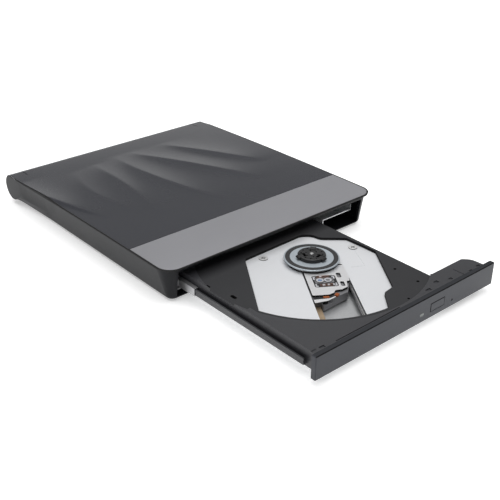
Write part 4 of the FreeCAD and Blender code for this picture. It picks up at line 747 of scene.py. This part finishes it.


# Sled details on the track, in millimetres: frame, rings, cap, coils, clips and bits of the lens unit, blocks under
# the cover's windows, and a black plate of painted shade in the gap at the sled's end. A rectangle is its middle along
# and across, its length and its width. A profile is pairs of radius, or outward distance, and rise above the level
# named beside it.

sledSettings = {
    "coverTop": 11.9, "holderTop": 11.75, "lensTop": 12.1, "lensAlong": 20.6, "lenses": (0.0, 4.1),
    "ring": ((1.1, -0.15), (1.14, -0.02), (1.3, 0.03), (1.9, 0.02), (2.1, -0.03), (2.14, -0.15), (1.1, -0.15)),
    "cap": ((0.0, 0.03), (0.5, 0.025), (0.95, 0.01), (1.0, -0.1), (0.0, -0.1)), "ringSegments": 48, "capSegments": 36,
    "frame": (20.6, 2.1, 5.0, 9.6), "frameRadius": 0.7, "frameRise": (-0.1, 0.12), "frameEdge": 0.06,
    "columns": ((17.0, 2.2, 1.5, 6.6), (25.2, 2.4, 1.5, 6.6)), "coilRadius": 0.5, "layers": 4, "layerStart": -0.1,
    "layerPitch": 0.13, "wire": ((0.0, -0.065), (0.07, 0.0), (0.0, 0.065), (-0.07, 0.0)), "wireMerge": 0.000002,
    "clips": ((16.7, 7.9, 1, -1), (26.4, 7.9, -1, -1), (16.7, -3.1, 1, 1), (26.4, -3.1, -1, 1)),
    "clipReach": 2.7, "clipWidth": 0.8, "clipRadius": 0.2, "clipRise": (-0.35, 0.04), "clipEdge": 0.05,
    "bits": ((16.9, 1.0, 1.0, 1.2), (24.9, 1.1, 1.6, 1.3), (24.8, 3.6, 1.5, 1.1), (25.0, 6.2, 1.6, 0.9)),
    "bitRadius": 0.2, "bitRise": (-0.1, 0.24), "bitEdge": 0.05,
    "blocks": ((16.5, 10.4, 2.6, 1.1), (25.1, 10.5, 2.6, 1.0)),
    "blockRadius": 0.3, "blockHeights": (10.5, 11.45), "blockEdge": 0.06,
    "ribbon": ((34.75, -6.3), (36.8, -6.3), (36.4, 1.6), (34.4, 6.0),
               (32.6, 6.6), (31.6, 6.2), (33.6, 4.4), (34.75, 1.6)),
    "ribbonRadius": 0.3, "ribbonHeights": (10.61, 10.74), "ribbonEdge": 0.03,
}


def rectangle(along, across, long, wide, radius):
    # Corners (along, across, radius) of a rectangle round its middle
    return [(along - long / 2, across - wide / 2, radius), (along + long / 2, across - wide / 2, radius),
            (along + long / 2, across + wide / 2, radius), (along - long / 2, across + wide / 2, radius)]


def addPlates(name, finish, body, outlines, level, heights, edge):
    # One piece of flat plates on the track, between two heights above a level
    plates = [plate(outline, level + heights[0], level + heights[1], edge, onTrack) for outline in outlines]
    addObject(name, meshOf(name, plates), finish, body)


def buildSledDetails(s):
    holderTop, lensTop = s["holderTop"], s["lensTop"]
    lensBody, sledBody = nodes["lens_holder"]["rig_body"], nodes["sled_cover"]["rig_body"]
    addPlates("lensFrame", "frameGrey", lensBody, [rectangle(*s["frame"], s["frameRadius"])], holderTop,
              s["frameRise"], s["frameEdge"])

    centres = [onTrack(s["lensAlong"], across) for across in s["lenses"]]
    ring = [(radius, lensTop + rise) for radius, rise in s["ring"]]
    rings = [turnedShape(ring, centre, s["ringSegments"]) for centre in centres]
    addObject("lensRings", meshOf("lensRings", rings), "ringSilver", lensBody)
    cap = [(radius, lensTop + rise) for radius, rise in s["cap"]]
    addObject("lensCap", meshOf("lensCap", [turnedShape(cap, centres[1], s["capSegments"])]), "frameGrey", lensBody)

    coils = []
    for column in s["columns"]:
        path = roundedOutline(rectangle(*column, s["coilRadius"]))
        for layer in range(s["layers"]):
            level = holderTop + s["layerStart"] + s["layerPitch"] * layer
            coils.append(carried(path, [(out, level + rise) for out, rise in s["wire"]], onTrack, closed=True))
    addObject("lensCoils", meshOf("lensCoils", coils, mergeDistance=s["wireMerge"]), "copperWire", lensBody)

    reach, wide = s["clipReach"], s["clipWidth"]
    hook = [(0, 0), (reach, 0), (reach, wide), (wide, wide), (wide, 0.5 * reach), (0, 0.5 * reach)]
    clips = [[(along + turnAlong * p, across + turnAcross * q, s["clipRadius"]) for p, q in hook]
             for along, across, turnAlong, turnAcross in s["clips"]]
    addPlates("lensClips", "ringSilver", lensBody, clips, s["coverTop"], s["clipRise"], s["clipEdge"])
    bits = [rectangle(*bit, s["bitRadius"]) for bit in s["bits"]]
    addPlates("lensBits", "ringSilver", lensBody, bits, holderTop, s["bitRise"], s["bitEdge"])

    blocks = [rectangle(*block, s["blockRadius"]) for block in s["blocks"]]
    addPlates("windowBlocks", "frameGrey", sledBody, blocks, 0.0, s["blockHeights"], s["blockEdge"])
    # Painted shade: a black plate on the block's top in the gap at the sled's end, standing in for the shade there
    ribbon = [(along, across, s["ribbonRadius"]) for along, across in s["ribbon"]]
    addPlates("gapShadePlate", "blackPlastic", sledBody, [ribbon], 0.0, s["ribbonHeights"], s["ribbonEdge"])


buildSledDetails(sledSettings)
print("stage: sled details")


# CAD nodes with their finish and how far their edges are broken, in millimetres
dressed = {
    "lower_shell": ("shellPlastic", 0.15), "trim_plate": ("stripSilver", 0.0), "tray": ("trayPlastic", 0.12),
    "bezel": ("bezelPlastic", 0.0), "eject_button": ("bezelPlastic", 0.0), "light_pipe": ("lightPlastic", 0.1),
    "deck_plate": ("deckCoating", 0.12), "turntable": ("turntableGrey", 0.0), "hub": ("blackPlastic", 0.12),
    "claw_1": ("blackPlastic", 0.15), "claw_2": ("blackPlastic", 0.15), "claw_3": ("blackPlastic", 0.15),
    "spindle_shaft": ("bareSteel", 0.15), "sled_cover": ("tinnedSheet", 0.06), "sled_base": ("castMetal", 0.12),
    "lens_holder": ("blackPlastic", 0.1), "lenses": ("lensGlass", 0.0), "left_rail": ("railSteel", 0.05),
    "right_rail": ("railSteel", 0.05), "left_guide": ("guidePlastic", 0.1), "right_guide": ("guidePlastic", 0.1),
    "drive_housing": ("platedSheet", 0.06), "drive_lid": ("platedSheet", 0.06), "chassis": ("platedSheet", 0.08),
    "rubber_feet": ("blackRubber", 0.0), "sled_flex": ("tanFlex", 0.0), "port_shell": ("bareSteel", 0.05),
    "deck_screws": ("screwSilver", 0.08), "sled_bracket": ("tinnedSheet", 0.05), "flex_tabs": ("amberFlex", 0.08),
}
for dressedName, (dressedFinish, dressedEdge) in dressed.items():
    dressNode(dressedName, dressedFinish, dressedEdge * mm, dressSettings)

# CAD nodes that keep their own mesh and only take a finish
plain = {
    "casing_screws": "bareSteel", "lid_screws": "bareSteel", "bridge_screws": "bareSteel",
    "tray_bottom_plate": "platedSheet", "eject_switch": "blackPlastic", "tray_board": "boardGreen",
    "latch_lever": "guidePlastic", "latch_solenoid": "blackPlastic", "grommets": "blackRubber",
    "guide_rods": "bareSteel", "lead_screw": "bareSteel", "sled_motor": "bareSteel", "spindle_base": "platedSheet",
    "stator": "blackPlastic", "rotor_cup": "bareSteel", "main_flex": "tanFlex", "main_board": "boardGreen",
    "board_chips": "blackPlastic", "drive_connector": "blackPlastic", "bridge_board": "boardGreen",
    "bridge_chip": "blackPlastic", "bridge_connector": "blackPlastic", "port_tongue": "blackPlastic",
}
for plainName, plainFinish in plain.items():
    if len(nodes[plainName].data.materials) == 0:
        nodes[plainName].data.materials.append(finishes[plainFinish])
    for materialSlot in nodes[plainName].material_slots:
        materialSlot.material = finishes[plainFinish]
print("stage: nodes dressed")
